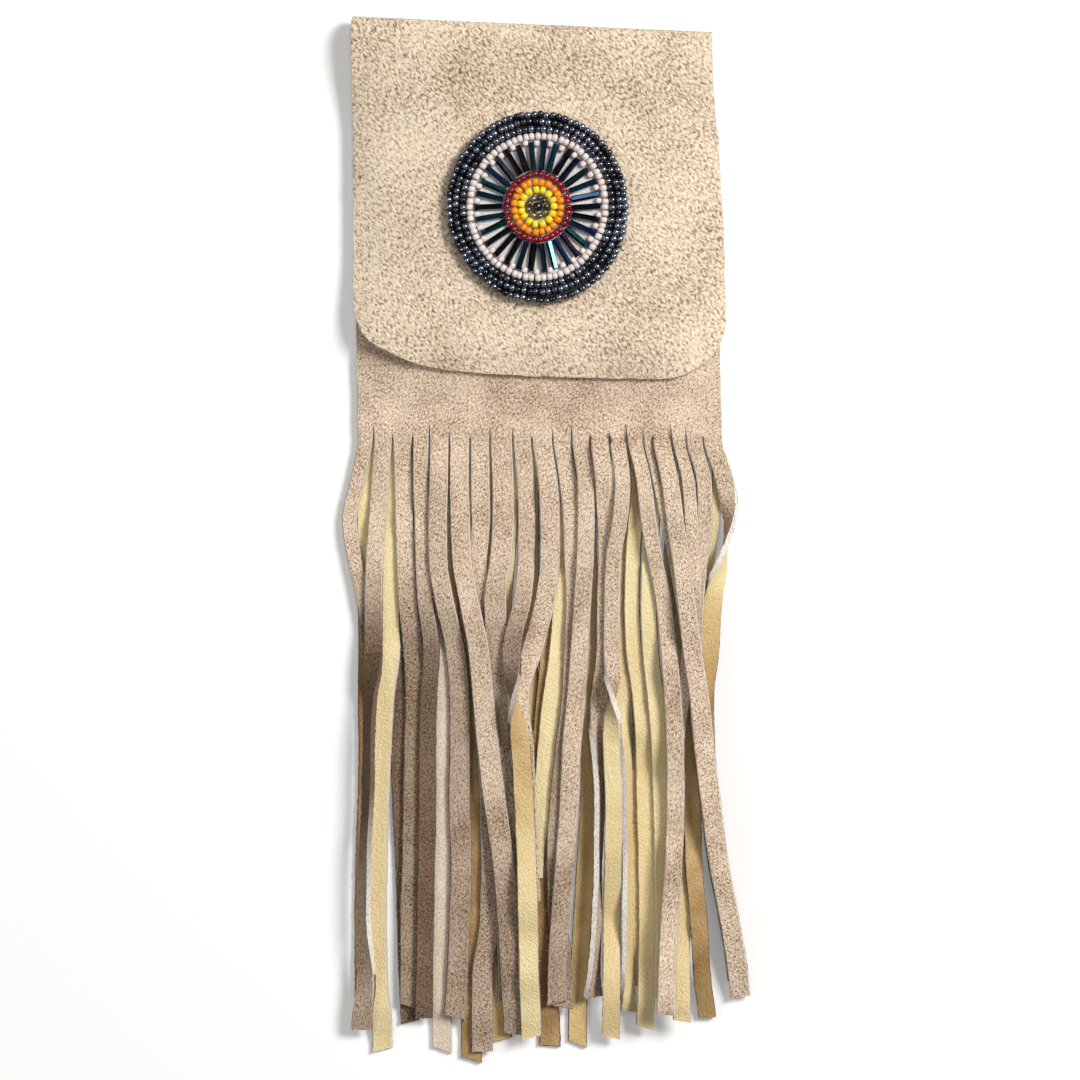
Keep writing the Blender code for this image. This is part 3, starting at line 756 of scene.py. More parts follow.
def sums(tree, operation, first, second):
    node = add(tree, "ShaderNodeMath", {0: first, 1: second}, operation=operation)
    return node.outputs[0]


def plus(tree, first, second):
    return sums(tree, "ADD", first, second)


def times(tree, first, second):
    return sums(tree, "MULTIPLY", first, second)


def speckle(tree, place, size, detail=2.0, roughness=0.5, distortion=0.0):
    node = add(tree, "ShaderNodeTexNoise", {
        "Vector": place, "Scale": 1 / size, "Detail": detail, "Roughness": roughness,
        "Distortion": distortion,
    })
    return node.outputs["Fac"]


def stretched(tree, place, turn, scale):
    """The place that draws a pattern out by the scale, then turns it counterclockwise."""
    node = add(tree, "ShaderNodeMapping", {
        "Vector": place, "Rotation": (0, 0, math.radians(turn)), "Scale": scale,
    }, vector_type="TEXTURE")
    return node.outputs["Vector"]


def finish(name, **values):
    """A new material and its shader, with the shader's plain values set."""
    material = bpy.data.materials.new(name)
    material.use_nodes = True
    shader = material.node_tree.nodes["Principled BSDF"]
    for key, value in values.items():
        socket = shader.inputs[key.replace("_", " ")]
        socket.default_value = value
    return material, material.node_tree, shader


def cover(tree, shader, color, height, distance, strength):
    """Give the shader its colour, and its bump of this depth and strength."""
    node = add(tree, "ShaderNodeBump", {
        "Height": height, "Distance": distance, "Strength": strength,
    })
    tree.links.new(color, shader.inputs["Base Color"])
    tree.links.new(node.outputs["Normal"], shader.inputs["Normal"])


def cut_place(tree):
    """Place on the cut hide, so that a pattern follows the leather where it bends."""
    return add(tree, "ShaderNodeUVMap", uv_map="cut").outputs["UV"]


def piece_place(tree):
    return add(tree, "ShaderNodeTexCoord").outputs["Object"]


# On the leather the tone carries painted shade (and painted light below zero); on beads it is a
# random tone of their own
def tone_of(tree):
    return add(tree, "ShaderNodeAttribute", attribute_name="tone").outputs["Fac"]


# Leather finishes

WHITE = (1.0, 1.0, 1.0)
SPECK_SPACING = 6 * MM


def black_specks(tree, place):
    """1 on the few specks in the nap, and 0 beside them."""
    spots = add(tree, "ShaderNodeTexVoronoi", {"Vector": place, "Scale": 1 / SPECK_SPACING})
    core = ramp(tree, spots.outputs["Distance"], ((0.045, 1.0), (0.07, 0.0)))
    rare = ramp(tree, spots.outputs["Color"], ((0.3, 1.0), (0.32, 0.0)))
    return times(tree, core, rare)


def suede(name, colors, deep, nap, lean, patch, strength):
    """Napped side: matted fibres with painted shade in the pits and painted light on the tips,
    brushed one way, a few specks; deep is the colour of a strip's painted shade.
    """
    material, tree, shader = finish(
        name, Roughness=0.95, Sheen_Weight=0.1, Sheen_Roughness=0.5, Specular_IOR_Level=0.1
    )
    place = cut_place(tree)
    tufts = speckle(tree, stretched(tree, place, lean, (1.0, 1.6, 1.0)), nap, 3.0, 0.65, 0.4)
    fibres = speckle(tree, stretched(tree, place, lean + 14, (0.45, 1.5, 1.0)), nap, 2.0, 0.6, 0.4)
    strokes = speckle(tree, stretched(tree, place, lean - 8, (0.8, 2.4, 1.0)), nap, 1.0, 0.5, 0.3)
    patches = speckle(tree, place, patch, 3.0, 0.6, 0.3)
    height = plus(tree, times(tree, tufts, 0.6), times(tree, fibres, 0.4))
    density = times(tree, sums(tree, "SUBTRACT", patches, 0.5), 0.15)
    # the nap's own colour, with painted shade in its pits and painted light on its tips
    color = ramp(tree, plus(tree, height, density), zip((0.39, 0.45, 0.505, 0.58), colors))
    # dark strokes along the nap: painted shade in its furrows
    furrow_shade = ramp(tree, plus(tree, strokes, density), ((0.32, 0.7), (0.38, 0.0)))
    color = mix(tree, furrow_shade, color, tuple(0.6 * value for value in colors[0]))
    slow = ((0.3, (0.92, 0.91, 0.89)), (0.5, WHITE), (0.72, (1.05, 1.04, 1.02)))
    color = tint(tree, color, ramp(tree, patches, slow))
    # painted shade from the tone tints the suede towards the deep colour; below zero, painted light
    # turns it pale
    depth = plus(tree, tone_of(tree), 0.25)
    color = tint(tree, color, ramp(tree, depth, ((0.25, WHITE), (1.0, deep))))
    painted_light_share = ramp(tree, depth, ((0.0, 0.55), (0.25, 0.0)))
    color = mix(tree, painted_light_share, color, (0.8, 0.7, 0.58))
    color = mix(tree, black_specks(tree, place), color, (0.03, 0.025, 0.02))
    cover(tree, shader, color, height, 0.55 * MM, strength)
    return material


def grain(name, colors):
    """Smooth side: dressed leather with fine pebble and soft sheen, pale with slow patches of its
    own, golden brown where painted shade from the strips' tone darkens it.
    """
    material, tree, shader = finish(name, Roughness=0.48, Specular_IOR_Level=0.4)
    place = cut_place(tree)
    pebbles = add(tree, "ShaderNodeTexVoronoi", {"Vector": place, "Scale": 1 / (0.75 * MM)})
    pores = speckle(tree, place, 0.45 * MM, 2.0, 0.6)
    patches = speckle(tree, place, 16 * MM, 3.0, 0.6)
    slow = times(tree, sums(tree, "SUBTRACT", patches, 0.5), 0.6)
    # the tone carries the strips' painted shade; the last colour is the shaded one
    base = ramp(tree, plus(tree, tone_of(tree), slow), zip((0.0, 0.5, 1.0), colors))
    color = tint(tree, base, ramp(tree, pores, ((0.36, (0.76, 0.7, 0.62)), (0.54, WHITE))))
    relief = plus(tree, pebbles.outputs["Distance"], times(tree, pores, 0.6))
    cover(tree, shader, color, relief, 0.26 * MM, 0.75)
    return material


def cut_edge(name, light, dark):
    """Raw cut through the hide: pale, fibrous, slightly layered, dark brown with painted shade on
    the darkest strips and along the lower rim.
    """
    material, tree, shader = finish(name, Roughness=0.95, Specular_IOR_Level=0.1)
    place = stretched(tree, piece_place(tree), 0, (1.0, 2.0, 0.5))
    fibres = speckle(tree, place, 0.5 * MM, 3.0, 0.65)
    color = ramp(tree, fibres, ((0.32, dark), (0.56, light)))
    # painted shade from the tone attribute
    shade = ramp(tree, tone_of(tree), ((0.35, WHITE), (0.8, (0.2, 0.15, 0.12))))
    cover(tree, shader, tint(tree, color, shade), fibres, 0.25 * MM, 0.5)
    return material


# Bead, thread and felt finishes

def seed_glass(name, color, deep, roughness, coat=0.4):
    """Pressed glass bead: each bead a little lighter or darker than the next."""
    material, tree, shader = finish(
        name, Roughness=roughness, Coat_Weight=coat, Coat_Roughness=0.08
    )
    streaks = speckle(tree, piece_place(tree), 1.4 * MM, 2.0, 0.5)
    body = mix(tree, tone_of(tree), color, deep)
    body = mix(tree, 0.3, body, ramp(tree, streaks, ((0.35, 0.7), (0.6, 1.0))), "MULTIPLY")
    cover(tree, shader, body, streaks, 0.05 * MM, 0.25)
    return material


def metal_glass(name, dark, shine, roughness, flecks):
    """Metallic coated bead, worn to bare glass in flecks."""
    material, tree, shader = finish(
        name, Metallic=0.85, Roughness=roughness, Coat_Weight=0.6, Coat_Roughness=0.05
    )
    cloud = speckle(tree, piece_place(tree), flecks, 2.0, 0.6)
    depth = times(tree, plus(tree, cloud, tone_of(tree)), 0.6)
    color = ramp(tree, depth, ((0.3, dark), (0.75, shine)))
    cover(tree, shader, color, cloud, 0.08 * MM, 0.3)
    return material


BUGLE_HUES = (
    (0.0, (0.008, 0.085, 0.125)), (0.2, (0.009, 0.022, 0.08)), (0.38, (0.008, 0.085, 0.08)),
    (0.55, (0.032, 0.013, 0.035)), (0.7, (0.008, 0.013, 0.025)), (0.85, (0.01, 0.055, 0.16)),
    (1.0, (0.045, 0.022, 0.022)),
)


def bugle_glass():
    """Oil-sheen tube bead: teal, navy, plum or green, with streaks along the tube."""
    material, tree, shader = finish(
        "bugle_sheen", Metallic=0.95, Roughness=0.16, Coat_Weight=0.35, Coat_Roughness=0.04
    )
    sheen = speckle(tree, piece_place(tree), 2.4 * MM, 1.0, 0.5, 0.6)
    shift = ramp(tree, sheen, ((0.35, (0.6, 0.8, 1.2)), (0.5, WHITE), (0.65, (1.5, 1.5, 1.2))))
    color = tint(tree, ramp(tree, tone_of(tree), BUGLE_HUES), shift)
    cover(tree, shader, color, sheen, 0.06 * MM, 0.2)
    return material


def felt():
    """Pale felt, near black under the black rows: painted shade where they shadow it."""
    material, tree, shader = finish("pale_felt", Roughness=0.95, Sheen_Weight=0.15)
    place = piece_place(tree)
    fluff = speckle(tree, place, 0.5 * MM, 3.0, 0.7, 1.0)
    color = ramp(tree, fluff, ((0.3, (0.55, 0.52, 0.5)), (0.6, (0.86, 0.83, 0.8))))
    flat = add(tree, "ShaderNodeVectorMath", {0: place, 1: (1, 1, 0)}, operation="MULTIPLY")
    away = add(tree, "ShaderNodeVectorMath", {
        0: flat.outputs["Vector"], 1: (ROSETTE_X, ROSETTE_Y, 0),
    }, operation="DISTANCE")
    # painted shade: the felt goes near black past the white ring, under the black rows
    rim = sums(tree, "DIVIDE", away.outputs["Value"], WHITE_RING + BEAD / 2)
    color = mix(tree, ramp(tree, rim, ((0.97, 0.0), (1.0, 1.0))), color, (0.02, 0.02, 0.024))
    cover(tree, shader, color, fluff, 0.3 * MM, 0.6)
    return material


def thread(name, light, dark):
    """Twisted thread."""
    material, tree, shader = finish(name, Roughness=0.75)
    place = stretched(tree, piece_place(tree), 45, (1.0, 0.35, 1.0))
    strands = speckle(tree, place, 0.3 * MM, 1.0, 0.5)
    color = ramp(tree, strands, ((0.35, dark), (0.6, light)))
    cover(tree, shader, color, strands, 0.05 * MM, 0.5)
    return material


# Beads, threads and fibres set out by Geometry Nodes

def new_tree(name, inputs):
    """An empty node group with a geometry in and out, and the named inputs."""
    tree = bpy.data.node_groups.new(name, "GeometryNodeTree")
    tree.interface.new_socket("Geometry", in_out="INPUT", socket_type="NodeSocketGeometry")
    for label, kind in inputs:
        tree.interface.new_socket(label, in_out="INPUT", socket_type=kind)
    tree.interface.new_socket("Geometry", in_out="OUTPUT", socket_type="NodeSocketGeometry")
    return tree, tree.nodes.new("NodeGroupInput"), tree.nodes.new("NodeGroupOutput")


def close_tree(tree, shape, material, out):
    """End a tree in Realize Instances and Set Material."""
    real = add(tree, "GeometryNodeRealizeInstances", {"Geometry": shape})
    coated = add(tree, "GeometryNodeSetMaterial", {
        "Geometry": real.outputs["Geometry"], "Material": material,
    })
    tree.links.new(coated.outputs["Geometry"], out.inputs["Geometry"])


def set_out_tree():
    """A copy of one small shape at each point, by the point's own turn and size."""
    tree, given, out = new_tree("set_out", (
        ("Shape", "NodeSocketObject"), ("Material", "NodeSocketMaterial"),
    ))
    shape = add(tree, "GeometryNodeObjectInfo", {"Object": given.outputs["Shape"]})
    turn, size = (
        add(tree, "GeometryNodeInputNamedAttribute", {"Name": layer}, data_type="FLOAT_VECTOR")
        for layer in ("turn", "size")
    )
    rotation = add(tree, "FunctionNodeEulerToRotation", {"Euler": turn.outputs["Attribute"]})
    copies = add(tree, "GeometryNodeInstanceOnPoints", {
        "Points": given.outputs["Geometry"], "Instance": shape.outputs["Geometry"],
        "Rotation": rotation.outputs["Rotation"], "Scale": size.outputs["Attribute"],
    })
    close_tree(tree, copies.outputs["Instances"], given.outputs["Material"], out)
    return tree


def strand_tree():
    """A round strand along every line of edges."""
    tree, given, out = new_tree("strand", (
        ("Radius", "NodeSocketFloat"), ("Sides", "NodeSocketInt"),
        ("Material", "NodeSocketMaterial"),
    ))
    path = add(tree, "GeometryNodeMeshToCurve", {"Mesh": given.outputs["Geometry"]})
    section = add(tree, "GeometryNodeCurvePrimitiveCircle", {
        "Radius": given.outputs["Radius"], "Resolution": given.outputs["Sides"],
    })
    tube = add(tree, "GeometryNodeCurveToMesh", {
        "Curve": path.outputs["Curve"], "Profile Curve": section.outputs["Curve"],
        "Fill Caps": True,
    })
    close_tree(tree, tube.outputs["Mesh"], given.outputs["Material"], out)
    return tree


def run_tree(piece, tree, name, **inputs):
    """Run the tree on the piece and return its result as a plain mesh."""
    step = piece.modifiers.new(tree.name, "NODES")
    step.node_group = tree
    for item in tree.interface.items_tree:
        if item.in_out == "INPUT" and item.name in inputs:
            step[item.identifier] = inputs[item.name]
    result = plain_copy(piece, name)
    for layer in ("turn", "size"):
        if layer in result.data.attributes:
            result.data.attributes.remove(result.data.attributes[layer])
    return result


class Places:
    """Points to set small shapes out on, each with its turn, size and tone."""

    def __init__(self):
        self.spots = []
        self.turns = []
        self.sizes = []
        self.tones = []

    def put(self, spot, along, roll, size, tone):
        turn = along.to_track_quat("Z", "Y").to_matrix() @ Matrix.Rotation(roll, 3, "Z")
        self.spots.append(tuple(spot))
        self.turns.append(tuple(turn.to_euler()))
        self.sizes.append(size)
        self.tones.append(tone)

    def fill(self, name, tree, shape, material):
        mesh = bpy.data.meshes.new(name)
        mesh.from_pydata(self.spots, [], [])
        for layer, kind, values, field in (
            ("turn", "FLOAT_VECTOR", self.turns, "vector"),
            ("size", "FLOAT_VECTOR", self.sizes, "vector"),
            ("tone", "FLOAT", self.tones, "value"),
        ):
            store = mesh.attributes.new(layer, kind, "POINT")
            store.data.foreach_set(field, np.array(values, float).ravel())
        points = as_object(name + "_points", mesh)
        return run_tree(points, tree, name, Shape=shape, Material=material)


def as_piece(shape, name):
    """The bmesh as a piece of the scene."""
    mesh = bpy.data.meshes.new(name)
    shape.to_mesh(mesh)
    shape.free()
    return as_object(name, mesh)


def turned(name, outline, sides, flat):
    """A ring-shaped solid turned about Z from a closed outline of (radius, height)."""
    shape = bmesh.new()
    rings = []
    for side in range(sides):
        angle = 2 * math.pi * side / sides
        rings.append([
            shape.verts.new((radius * math.cos(angle), radius * math.sin(angle), height))
            for radius, height in outline
        ])
    for side in range(sides):
        here, after = rings[side], rings[(side + 1) % sides]
        for index in range(len(outline)):
            near = (index + 1) % len(outline)
            shape.faces.new((here[index], after[index], after[near], here[near]))
    bmesh.ops.recalc_face_normals(shape, faces=shape.faces)
    piece = as_piece(shape, name)
    if flat:
        piece.data.shade_flat()
    else:
        piece.data.shade_smooth()
    return piece


def seed_outline(hole=0.12, half_length=0.5, steps=10):
    """Rounded bead of diameter 1 and length 1, thinner at its hole."""
    middle, half_wall = (0.5 + hole) / 2, (0.5 - hole) / 2
    outline = []
    for step in range(steps):
        angle = 2 * math.pi * step / steps
        outline.append((middle + half_wall * math.cos(angle), half_length * math.sin(angle)))
    return outline


CUT_OUTLINE = (
    (0.47, -0.3), (0.5, 0.0), (0.47, 0.3), (0.33, 0.5), (0.15, 0.44), (0.15, -0.44), (0.33, -0.5),
)


def bugle_outline():
    half, outer, bore = BUGLE_LENGTH / 2, BUGLE_SEEN / 2, BUGLE_SEEN / 5
    inner = outer - BUGLE_CHAMFER
    return (
        (outer, -half + BUGLE_CHAMFER), (outer, half - BUGLE_CHAMFER), (inner, half),
        (bore, half), (bore, -half), (inner, -half),
    )


def fibre_shape():
    """One short bent fibre, a unit long, standing on Z."""
    shape = bmesh.new()
    rings = []
    for height, lean, radius in ((0.0, 0.0, 0.5), (0.55, 0.16, 0.36)):
        rings.append([
            shape.verts.new((
                lean + radius * 0.1 * math.cos(2 * math.pi * side / 3),
                radius * 0.1 * math.sin(2 * math.pi * side / 3), height,
            )) for side in range(3)
        ])
    tip = shape.verts.new((0.42, 0, 1.0))
    shape.faces.new(reversed(rings[0]))
    for side in range(3):
        beside = (side + 1) % 3
        shape.faces.new((rings[0][side], rings[0][beside], rings[1][beside], rings[1][side]))
        shape.faces.new((rings[1][side], rings[1][beside], tip))
    return as_piece(shape, "fibre")


def on_flap(radius, angle, height):
    x = ROSETTE_X + radius * ROSETTE_NARROW * math.cos(angle)
    y = ROSETTE_Y + radius * ROSETTE_TALL * math.sin(angle)
    return Vector((x, y, flap_top(x, y) + height))


FELT_TOP = 2 * GAP + BACKING


class Ring:
    """A sewn ring of beads, a little out of round, with its thread's path."""

    def __init__(self, radius, size, count, wobble, seed):
        self.radius = radius
        self.size = size
        self.count = count
        self.wobble = wobble
        self.seed = seed

    def spot(self, number):
        angle = 2 * math.pi * (number + 0.25 * (chance(self.seed + number) - 0.5)) / self.count
        sway = math.cos(2 * angle + self.seed) + 0.7 * math.cos(3 * angle + 2 * self.seed)
        loose = chance(self.seed * 1.7 + number * 3.1) - 0.5
        radius = self.radius + self.wobble * (0.5 * sway + loose)
        return on_flap(radius, angle, FELT_TOP + self.size / 2 + 0.1 * loose * self.size)

    def spots(self):
        return [self.spot(number) for number in range(self.count)]

    def beads(self, name, tree, shape, material):
        places = Places()
        spots = self.spots()
        for number, spot in enumerate(spots):
            before, after = spots[number - 1], spots[(number + 1) % self.count]
            length = (after - before).length / 2 * BEAD_FILL
            luck = chance(self.seed * 2.3 + number * 1.9)
            wide = self.size * (0.95 + 0.1 * luck)
            tilt = Vector((0, 0, 0.25 * (chance(number * 5.3 + self.seed) - 0.5)))
            places.put(
                spot, (after - before).normalized() + tilt, 2 * math.pi * luck,
                (wide, wide, length * (0.92 + 0.12 * chance(number + self.seed))), luck,
            )
        return places.fill(name, tree, shape, material)


def bugle_ends(number):
    """Inner and outer end of a tube bead, as loosely sewn as in the rosette."""
    swing = BUGLE_SWING * (chance(number * 1.3 + 2) - 0.5)
    angle = 2 * math.pi * number / BUGLES
    short = BUGLE_SHORT * chance(number * 2.9 + 5)
    slide = BUGLE_SLIDE * (chance(number * 7.7) - 0.3)
    height = FELT_TOP + BUGLE_SEEN / 2
    inner = on_flap(BUGLE_START - BUGLE_TUCK + slide, angle - swing / 2, height)
    outer = on_flap(BUGLE_END - short + slide, angle + swing / 2, height)
    return inner, outer


def build_bugles(tree, material):
    places = Places()
    shape = turned("bugle_shape", bugle_outline(), 6, True)
    for number in range(BUGLES):
        inner, outer = bugle_ends(number)
        length = (outer - inner).length / BUGLE_LENGTH
        places.put(
            (inner + outer) / 2, outer - inner, 2 * math.pi * chance(number * 3.3),
            (1.0, 1.0, length), chance(number * 5.9 + 1),
        )
    bugles = places.fill("tube_beads", tree, shape, material)
    bpy.data.objects.remove(shape, do_unlink=True)
    return bugles


def build_spacers(tree, shape, material):
    places = Places()
    radius = WHITE_RING - BEAD / 2 - SPACER / 2
    for number in range(BUGLES):
        luck = chance(number * 4.1 + 3)
        angle = 2 * math.pi * (number + 0.5 + 0.16 * (luck - 0.5)) / BUGLES
        spot = on_flap(radius - SPACER_SLIDE * luck, angle, FELT_TOP + SPACER / 2)
        along = Vector((math.cos(angle), math.sin(angle), 0.5 * (luck - 0.5)))
        size = SPACER * (1.14 + 0.12 * luck)
        places.put(spot, along, 6 * luck, (size, size, size * 0.9), luck)
    return places.fill("spacer_beads", tree, shape, material)


def build_threads(name, tree, rings, material):
    points = []
    edges = []
    for ring in rings:
        first = len(points)
        points.extend(tuple(spot) for spot in ring.spots())
        edges.extend((first + n, first + (n + 1) % ring.count) for n in range(ring.count))
    mesh = bpy.data.meshes.new(name)
    mesh.from_pydata(points, edges, [])
    path = as_object(name + "_path", mesh)
    return run_tree(path, tree, name, Radius=THREAD / 2, Sides=6, Material=material)


def build_felt(material):
    """Backing disc with a soft uneven top, following the flap."""
    shape = bmesh.new()
    layers = []
    for side in (1, -1):
        rows = [[shape.verts.new(felt_point(0.0, 0.0, side))]]
        for ring in range(1, FELT_RINGS + 1):
            reach = ring / FELT_RINGS
            rows.append([
                shape.verts.new(felt_point(reach, 2 * math.pi * spoke / FELT_SPOKES, side))
                for spoke in range(FELT_SPOKES)
            ])
        layers.append(rows)
    for rows, up in zip(layers, (True, False)):
        for spoke in range(FELT_SPOKES):
            after = (spoke + 1) % FELT_SPOKES
            fan = [rows[0][0], rows[1][spoke], rows[1][after]]
            shape.faces.new(fan if up else fan[::-1])
            for inner, outer in zip(rows[1:-1], rows[2:]):
                face = [inner[spoke], outer[spoke], outer[after], inner[after]]
                shape.faces.new(face if up else face[::-1])
    top, bottom = layers[0][-1], layers[1][-1]
    for spoke in range(FELT_SPOKES):
        after = (spoke + 1) % FELT_SPOKES
        shape.faces.new((top[spoke], bottom[spoke], bottom[after], top[after]))
    disc = as_piece(shape, "felt_backing")
    disc.data.materials.append(material)
    disc.data.shade_smooth()
    return disc


def felt_point(reach, angle, side):
    ragged = 1 + 0.012 * wander(5 * math.cos(angle), 5 * math.sin(angle), 0, 1.0) * reach ** 8
    spot = on_flap(reach * BACKING_RADIUS * ragged, angle, 0)
    lump = FELT_LUMP * wander(spot.x, spot.y, 0.5, FELT_GRAIN)
    spot.z += FELT_TOP - FELT_SINK + lump if side > 0 else FELT_FOOT
    return spot


def build_center_bead(material):
    """Large round bead in the middle, sewn down along its hole, which lies flat."""
    shape = turned("center_bead_round", seed_outline(0.05, 0.44, 18), 28, False)
    mesh = shape.data
    place = Matrix.Translation(on_flap(0, 0, FELT_TOP + 0.5 * CENTER_BEAD))
    mesh.transform(place @ Matrix.Rotation(math.radians(90), 4, "X") @ Matrix.Scale(CENTER_BEAD, 4))
    mesh.materials.append(material)
    return shape


FIBRE_SHARE = 0.75
FIBRE_THICK = 1.1 * MM
FIBRE_ROOT = 0.06 * MM
FIBRE_FREE_FOLD = FOLD_LINE - 6 * MM


def build_fibres(name, tree, leather, shape, material, upper_end):
    """Stray fibres along the cut edges of a piece of leather, below its upper end."""
    places = Places()
    for face in leather.data.polygons:
        at, out = face.center, face.normal
        cut_face = face.material_index % 3 == 2 and at.y < upper_end
        if not cut_face or chance(face.index * 0.731) > FIBRE_SHARE:
            continue
        luck = [chance(face.index * step + step) for step in (1.13, 2.71, 3.37, 4.93)]
        along = out + 0.9 * Vector((luck[0] - 0.5, luck[1] - 0.5, luck[2] - 0.5))
        length = (0.3 + 0.9 * luck[3] ** 3) * MM
        upright = abs(out.z) < 0.5
        slide = Vector((0, 0, (luck[1] - 0.5) * LEATHER * 0.7)) if upright else Vector()
        places.put(
            at + slide - out * FIBRE_ROOT, along, 2 * math.pi * luck[2],
            (FIBRE_THICK, FIBRE_THICK, length), luck[0],
        )
    return places.fill(name, tree, shape, material)


# Ground, light and camera

FLOOR_HALF = 3.0
FLOOR_Z = -0.3 * MM
WORLD_LIGHT = 0.17
LAMPS = (
    ("window", (1.1, 0.55, 1.55), 0.6, 38.0, (1.0, 0.98, 0.96)),
    ("room_side", (-0.9, -0.1, 1.2), 0.5, 3.4, (1.0, 0.99, 0.97)),
    ("ceiling", (0.1, 0.5, 1.4), 0.3, 1.4, (1.0, 1.0, 1.0)),
)
BAG_MIDDLE = Vector((0, -100 * MM, 0))


def bare_tree(owner):
    """The owner's emptied node tree, with its light path."""
    owner.use_nodes = True
    owner.node_tree.nodes.clear()
    return owner.node_tree, owner.node_tree.nodes.new("ShaderNodeLightPath").outputs


def picked(tree, kind, factor, first, second):
    """Show the first shader where the factor is 0 and the second where it is 1."""
    pick = add(tree, "ShaderNodeMixShader", {
        0: factor, 1: first.outputs[0], 2: second.outputs[0],
    })
    out = tree.nodes.new(kind)
    tree.links.new(pick.outputs[0], out.inputs["Surface"])


def build_floor():
    """Pale floor that keeps a soft shadow, and shows white to the eye and in reflections."""
    mesh = bpy.data.meshes.new("floor")
    corners = ((-1, -1), (1, -1), (1, 1), (-1, 1))
    mesh.from_pydata(
        [(x * FLOOR_HALF, y * FLOOR_HALF, FLOOR_Z) for x, y in corners], [], [(0, 1, 2, 3)]
    )
    material = bpy.data.materials.new("white_floor")
    tree, path = bare_tree(material)
    mirrored = sums(tree, "MAXIMUM", path["Is Glossy Ray"], path["Is Transmission Ray"])
    seen = sums(tree, "MAXIMUM", path["Is Camera Ray"], mirrored)
    plain = add(tree, "ShaderNodeBsdfDiffuse", {"Color": (0.75, 0.75, 0.75, 1)})
    shadowed = add(tree, "ShaderNodeBsdfDiffuse", {"Color": (0.84, 0.84, 0.84, 1)})
    glow = add(tree, "ShaderNodeEmission", {"Color": (1, 1, 1, 1), "Strength": 0.2})
    both = add(tree, "ShaderNodeAddShader", {0: shadowed.outputs[0], 1: glow.outputs[0]})
    picked(tree, "ShaderNodeOutputMaterial", seen, plain, both)
    mesh.materials.append(material)
    floor = as_object("floor", mesh)


def build_world():
    world = bpy.data.worlds.new("soft_room")
    bpy.context.scene.world = world
    tree, path = bare_tree(world)
    room, white = (
        add(tree, "ShaderNodeBackground", {"Color": (*color, 1), "Strength": strength})
        for color, strength in (((1.0, 0.98, 0.95), WORLD_LIGHT), (WHITE, 1.0))
    )
    picked(tree, "ShaderNodeOutputWorld", path["Is Camera Ray"], room, white)


def build_lamps():
    for name, place, size, power, color in LAMPS:
        lamp = bpy.data.lights.new(name, "AREA")
        lamp.size = size
        lamp.energy = power
        lamp.color = color
        holder = as_object(name, lamp)
        holder.location = place
        holder.rotation_euler = (BAG_MIDDLE - Vector(place)).to_track_quat("-Z", "Y").to_euler()


CAMERA_HEIGHT = 1.4
FRAME_WIDTH = 1080 * PICTURE_PX
PICTURE_CENTER_Y = -99.84 * MM
SEEN_HEIGHT = 8 * MM
SENSOR = 36


def build_camera():
    eye = bpy.data.cameras.new("camera")
    eye.sensor_width = SENSOR
    eye.lens = SENSOR * CAMERA_HEIGHT / FRAME_WIDTH
    eye.dof.use_dof = False
    holder = as_object("camera", eye)
    holder.location = (0, PICTURE_CENTER_Y, SEEN_HEIGHT + CAMERA_HEIGHT)
    bpy.context.scene.camera = holder


# Putting the bag together

def dress(piece, body, slot, *nodes):
    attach(piece, body)
    if nodes:
        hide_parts(*nodes)


def fringe_area(panel, top):
    """Flat area of a panel's cut: its body, and each strip at its own length."""
    area = BODY_WIDTH * (top - FRINGE_TOP)
    for strip in STRIPS:
        if strip[0] == panel:
            width = BODY_WIDTH * SLOTS[panel][strip[1] - 1] / sum(SLOTS[panel]) - SLIT
            area += width * (FRINGE_TOP - lay_y(strip[2]))
    return area


def build_leather():
    # The third value of each suede, and the grain's last colour, are the colours of the strips'
    # painted shade
    sand = suede(
        "sand_suede",
        ((0.23, 0.14, 0.085), (0.59, 0.45, 0.31), (0.78, 0.64, 0.48), (0.92, 0.81, 0.66)),
        (0.5, 0.4, 0.34), 0.8 * MM, 38, 30 * MM, 0.75,
    )
    tan = suede(
        "tan_suede",
        ((0.2, 0.12, 0.07), (0.53, 0.38, 0.26), (0.74, 0.57, 0.42), (0.94, 0.81, 0.66)),
        (0.22, 0.175, 0.145), 0.52 * MM, -35, 20 * MM, 0.8,
    )
    yellow = grain("yellow_grain", ((0.9, 0.77, 0.44), (0.74, 0.54, 0.25), (0.3, 0.16, 0.05)))
    edge = cut_edge("cut_edge", (0.9, 0.86, 0.82), (0.6, 0.5, 0.43))
    strips = laid_strips()
    panel_finishes = (yellow, tan, edge, tan, yellow, edge)
    front = build_panel(
        "front", strips, SUEDE_UP, panel_finishes, mouth_y, front_mid, RAGGED_SIDE
    )
    back = build_panel(
        "back", strips, GRAIN_UP, panel_finishes, fold_y, lambda share, y: LEATHER / 2, 0.0
    )
    flap = build_flap_leather((yellow, sand, edge, sand, yellow, edge))
    dress(front, "bag", "suede_panel", "front_panel")
    dress(back, "bag", "grain_leather", "back_panel")
    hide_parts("flap")
    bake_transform(flap)
    return front, back, flap


def build_trim(tree, front, back, flap):
    shape = fibre_shape()
    fluff = thread("suede_fibre", (0.85, 0.77, 0.67), (0.6, 0.48, 0.38))
    pieces = []
    for name, leather, body, slot, upper_end in (
        ("front_fibres", front, "bag", "suede_panel", math.inf),
        ("back_fibres", back, "bag", "grain_leather", FIBRE_FREE_FOLD),
        ("flap_fibres", flap, "flap", "suede", FIBRE_FREE_FOLD),
    ):
        fibres = build_fibres(name, tree, leather, shape, fluff, upper_end)
        dress(fibres, body, slot)
        pieces.append(fibres)
    bpy.data.objects.remove(shape, do_unlink=True)
    return pieces


